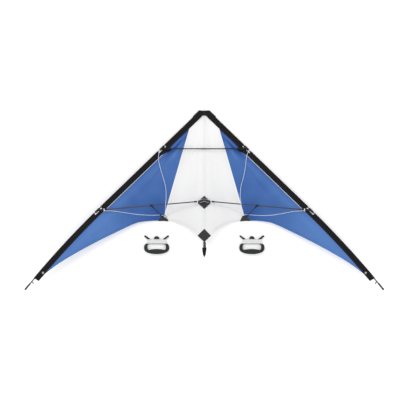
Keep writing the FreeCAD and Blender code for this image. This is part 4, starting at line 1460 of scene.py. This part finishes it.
def standoffs():
    half = SPREADER_AXIS * 5.5
    girths = [(0, 2.6), (0, 3.7), (0.5, 4.3), (1.3, 4.6), (9.7, 4.6), (10.5, 4.3), (11, 3.7), (11, 2.6)]
    barrel = moulded_tube("barrel", CLIP_CENTRE - half, CLIP_CENTRE + half, girths)
    socket_girths = [(0, 3.1), (2, 3.1), (12, 2.9), (15, 2.8), (15.7, 2.4), (16, 1.6)]
    socket_start = CLIP_CENTRE + STANDOFF_AXIS * 2
    socket = moulded_tube("socket", socket_start, CLIP_CENTRE + STANDOFF_AXIS * 18, socket_girths, 22)
    clip = joined([barrel, socket], "right_spreader_clip")
    start = STANDOFF_FOOT - STANDOFF_AXIS * 13
    foot_girths = [(0, 1.6), (0, 2.1), (0.5, 2.35), (1.2, 2.4), (13, 2.4), (14.2, 2.1), (15.0, 1.3),
                   (15.4, 0.3)]
    foot_cap = moulded_tube("right_foot_cap", start, STANDOFF_FOOT, foot_girths, 22)
    for piece, node in ((clip, "standoff_clip"), (foot_cap, "standoff_foot")):
        for side, part in both_sides(piece):
            fitted(part, VINYL, f"{side}_standoff", f"{side}_{node}")


def folded_band(name, half_widths, half_thickness, low, high, offset=0.0):
    """A loop of webbing round the spine.  Its half width goes from the first value to the second."""
    verts = []
    sides, rows = 40, 12
    for row in range(rows + 1):
        y = low + (high - low) * row / rows
        half = half_widths[0] + (half_widths[1] - half_widths[0]) * row / rows
        for k in range(sides):
            c, s = math.cos(math.tau * k / sides), math.sin(math.tau * k / sides)
            x = half * math.copysign(abs(c) ** 0.35, c) + offset
            z = half_thickness * math.copysign(abs(s) ** 0.35, s) + SPINE_LEVEL
            ruck = noise.noise(Vector((x / 4, y / 8, z))) * 0.3
            verts.append((x + ruck, y, z + ruck * 0.7))
    band = turned_out(mesh_piece(name, verts, net(rows + 1, sides, True)))
    thickened(band, 1.0)
    return smooth(bevelled(band, 0.25, 2, 60), 50)


def tail():
    """The strap that ties the sail's foot to the spine, its folded end pocket, and the spine's end cap."""
    end = Vector((0, -234.5, SPINE_LEVEL))
    girths = [(0, 2.8), (0, 3.6), (0.5, 4.0), (1.4, 4.2), (12, 4.2), (18, 4.1), (21, 3.5), (23, 2.2),
              (23.4, 0.4)]
    cap = moulded_tube("spine_end_cap", end, end - Vector((0, 23, 0)), girths)
    grey = folded_band("tail_strap_grey", (3.2, 3.2), 3.7, -224, -191, -3.4)
    black = folded_band("tail_strap_black", (3.6, 3.2), 3.9, -224, -191, 3.5)
    pocket = folded_band("tail_pocket", (5.9, 10.2), 4.6, -250, -217)
    for piece, finish, slot, node in ((grey, STRAP_TAPE, "grey_webbing", "tail_strap"),
                                      (black, NOSE_TAPE, "black_webbing", None),
                                      (pocket, NOSE_TAPE, "black_webbing", None),
                                      (cap, VINYL, "vinyl_fitting", "spine_tail_cap")):
        fitted(piece, finish, "spine_frame", node)


def knots():
    """Lark's heads on the fittings, and the knot where the three legs meet."""
    tow = {}
    for side, sign in SIDES:
        turn = Matrix.Scale(sign, 4, (1, 0, 0))
        rod_point, tangent, _ = edge_frame(UPPER_STATION + 17)
        places = [(turn @ rod_point, turn @ tangent, ROD_R + CORD_R, BRIDLE_UPPER),
                  (turn @ on_spreader(446), turn @ SPREADER_AXIS, ARM_R + 0.1 + CORD_R, BRIDLE_LOWER),
                  (turn @ on_spreader(30), turn @ SPREADER_AXIS, ARM_R + CORD_R, BRIDLE_CENTRE)]
        turns = []
        for centre, axis, radius, route in places:
            for shift in (-0.95, 0.95):
                turns.append(loop_of_cord("turn", centre + axis * shift, axis, radius, CORD_R))
            turns.append(overhand_knot("knot", route[side][0], axis, 1.5, 0.85))
        whole = joined(turns, f"{side}_larks_heads")
        fitted(smooth(whole, 60), WHITE_CORD, f"{side}_wing", f"{side}_bridle_knots")
        centre = BRIDLE_TOW[side]
        tail_end = centre + Vector((sign * -9, -7, 1.2))
        half_way = centre.lerp(tail_end, 0.5) + Vector((0, 1, 0.6))
        pigtail = smooth_path([tuple(centre), tuple(half_way), tuple(tail_end)], 10)
        bits = [overhand_knot("knot", centre, Vector((sign, 0.3, 0)), 2.4, 1.05),
                tube_mesh("pigtail", pigtail, [1.2] * 11, 12),
                overhand_knot("end knot", tail_end, Vector((sign, 0.8, 0)), 1.3, 0.8)]
        tow_knot = joined(bits, f"{side}_tow_point")
        fitted(smooth(tow_knot, 60), WHITE_CORD, f"{side}_wing", f"{side}_tow_knot")
        tow[side] = tow_knot
    return tow


upper_fittings()
lower_fittings()
joiner()
hub()
standoffs()
tail()
tow_knots = knots()

# ---- handles -----------------------------------------------------------------------------------------------

HANDLE_THICKNESS = 14.0
GRIP_THICKNESS = 19.0
NECK_INSET = 3.5


def arc_points(start, middle, end, count):
    """Points of the circle through three points, from the first to the last."""
    a, b, c = (complex(*p) for p in (start, middle, end))
    w = (c - a) / (b - a)
    centre = (b - a) * (w - abs(w) ** 2) / (2j * w.imag) + a
    turn_b = (b - centre) / (a - centre)
    turn_c = (c - centre) / (a - centre)
    angle_b, angle_c = math.atan2(turn_b.imag, turn_b.real), math.atan2(turn_c.imag, turn_c.real)
    if abs(angle_b) > abs(angle_c) or angle_b * angle_c < 0:
        angle_c -= math.copysign(math.tau, angle_c)
    points = []
    for i in range(count):
        p = centre + (a - centre) * complex(math.cos(angle_c * i / count), math.sin(angle_c * i / count))
        points.append((p.real, p.imag))
    return points


def whole_outline(right_half):
    """Mirror an outline's right half, which runs from the top of the centre line to its bottom."""
    left = [(-x, y) for x, y in reversed(right_half) if abs(x) > 0.01]
    return right_half + left


def even(points, count):
    closed = [Vector(p) for p in points] + [Vector(points[0])]
    total = [0.0]
    for here, there in zip(closed, closed[1:]):
        total.append(total[-1] + (there - here).length)
    spaced, i = [], 0
    for k in range(count):
        want = total[-1] * k / count
        while total[i + 1] < want:
            i += 1
        spaced.append(closed[i].lerp(closed[i + 1], (want - total[i]) / (total[i + 1] - total[i])))
    return spaced


def handle_ring():
    """The closed ring: outer and inner outlines joined by a crowned surface, thicker along the grip."""
    outer = whole_outline([(0.0, 24.0)] + arc_points((38, 24), (51, 20.5), (56, 9), 6)
                          + arc_points((56, 9), (53.5, -8), (42, -17), 12)
                          + arc_points((42, -17), (22, -22.4), (0, -24), 12) + [(0.0, -24.0)])
    inner = whole_outline([(0.0, 20.8)] + arc_points((31, 20.8), (38.8, 17.4), (41, 8), 8)
                          + arc_points((41, 8), (40, -1), (35, -5.5), 8)
                          + arc_points((35, -5.5), (18, -2.6), (0, -1.5), 12) + [(0.0, -1.5)])
    count, across = 160, 8
    rims = even(outer, count), even(inner, count)
    verts, faces = [], []
    for level in (1, 0):
        for out, into in zip(*rims):
            for k in range(across + 1):
                p = out.lerp(into, k / across)
                swell = smooth_step((4 - p.y) / 9) * smooth_step((46 - abs(p.x)) / 10)
                thick = HANDLE_THICKNESS + (GRIP_THICKNESS - HANDLE_THICKNESS) * swell
                crown = math.sin(math.pi * k / across) * 0.9
                slim = NECK_INSET * smooth_step((p.y - 15) / 6) * smooth_step((47 - abs(p.x)) / 9)
                verts.append((p.x, p.y, (thick - 0.9 + crown - slim) if level else slim))
    ring = across + 1
    back = count * ring
    for i in range(count):
        j = (i + 1) % count
        for k in range(across):
            a, b = i * ring + k, j * ring + k
            faces.append((a, b, b + 1, a + 1))
            faces.append((back + a, back + a + 1, back + b + 1, back + b))
        for k in (0, across):
            a, b = i * ring + k, j * ring + k
            faces.append((a, back + a, back + b, b))
    body = turned_out(mesh_piece("ring", verts, faces))
    return bevelled(body, 2.2, 4, 40)


def slab(name, outline, low, high, rounding):
    """A flat outline extruded between two levels, its edges rounded over."""
    nothing_selected()
    bpy.ops.mesh.primitive_circle_add(vertices=len(outline), radius=10, fill_type="NGON", location=(0, 0, 0))
    piece = bpy.context.object
    piece.name = name
    for corner, (x, y) in zip(piece.data.vertices, outline):
        corner.co = (x, y, low)
    bpy.ops.object.mode_set(mode="EDIT")
    bpy.ops.mesh.select_all(action="SELECT")
    bpy.ops.mesh.extrude_region_move(TRANSFORM_OT_translate={"value": (0, 0, high - low)})
    bpy.ops.object.mode_set(mode="OBJECT")
    return bevelled(turned_out(piece), rounding, 3, 30)


def grip_ribs():
    """Low raised pads along the grip's top, as a moulded finger rest has."""
    pads = []
    for i in range(-5, 6):
        x = i * 5.6
        y = -13.2 + 0.0022 * x * x
        pads.append(slab("rib", [(x - 1.1, y - 6), (x + 1.1, y - 6), (x + 1.1, y + 6), (x - 1.1, y + 6)],
                         GRIP_THICKNESS - 1.6, GRIP_THICKNESS - 0.05, 0.7))
    return pads


def handles():
    horn = [(29, 41.5), (38, 41), (48, 48), (56, 55), (56, 58), (53, 60), (48.5, 59), (40, 52), (31, 46.5)]
    nub = [(12.5 * math.cos(math.pi * i / 12), 44.0 + 12.6 * math.sin(math.pi * i / 12)) for i in range(13)]
    neck = [(-37, 22), (37, 22), (37, 42.8), (-37, 42.8)]
    bits = [handle_ring(), slab("neck", neck, NECK_INSET, HANDLE_THICKNESS - NECK_INSET, 1.0)]
    for name, outline in (("nub", nub), ("horn", horn), ("other horn", [(-x, y) for x, y in reversed(horn)])):
        bits.append(slab(name, outline, 0, HANDLE_THICKNESS, 2.2))
    body = smooth(joined(bits + grip_ribs(), "handle"), 35)
    knot_at = Vector(LINE_END) + Vector((-0.4, -0.4, 0))
    for side, _ in SIDES:
        on_the_ground = Matrix.Scale(MM, 4) @ Matrix.Translation(handle_place(side))
        winder = linked_copy(body, f"{side}_winder")
        winder.data.transform(on_the_ground)
        dress(winder, HANDLE_PLASTIC)
        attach(winder, f"{side}_handle")
        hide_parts(f"{side}_handle_frame")
        knot = overhand_knot(f"{side}_line_knot", knot_at, Vector((1, 1, 0.2)), 0.85, 0.42)
        knot.data.transform(on_the_ground)
        dress(smooth(knot, 60), FLYING_LINE)
        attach(knot, f"{side}_handle")
    bpy.data.objects.remove(body)


handles()

# ---- last placing of the sails: white halves baked in place, blue halves hung on their wings -------

for side, _ in SIDES:
    across_spine(sails[side, "white"])
    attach(sails[side, "blue"], f"{side}_wing")
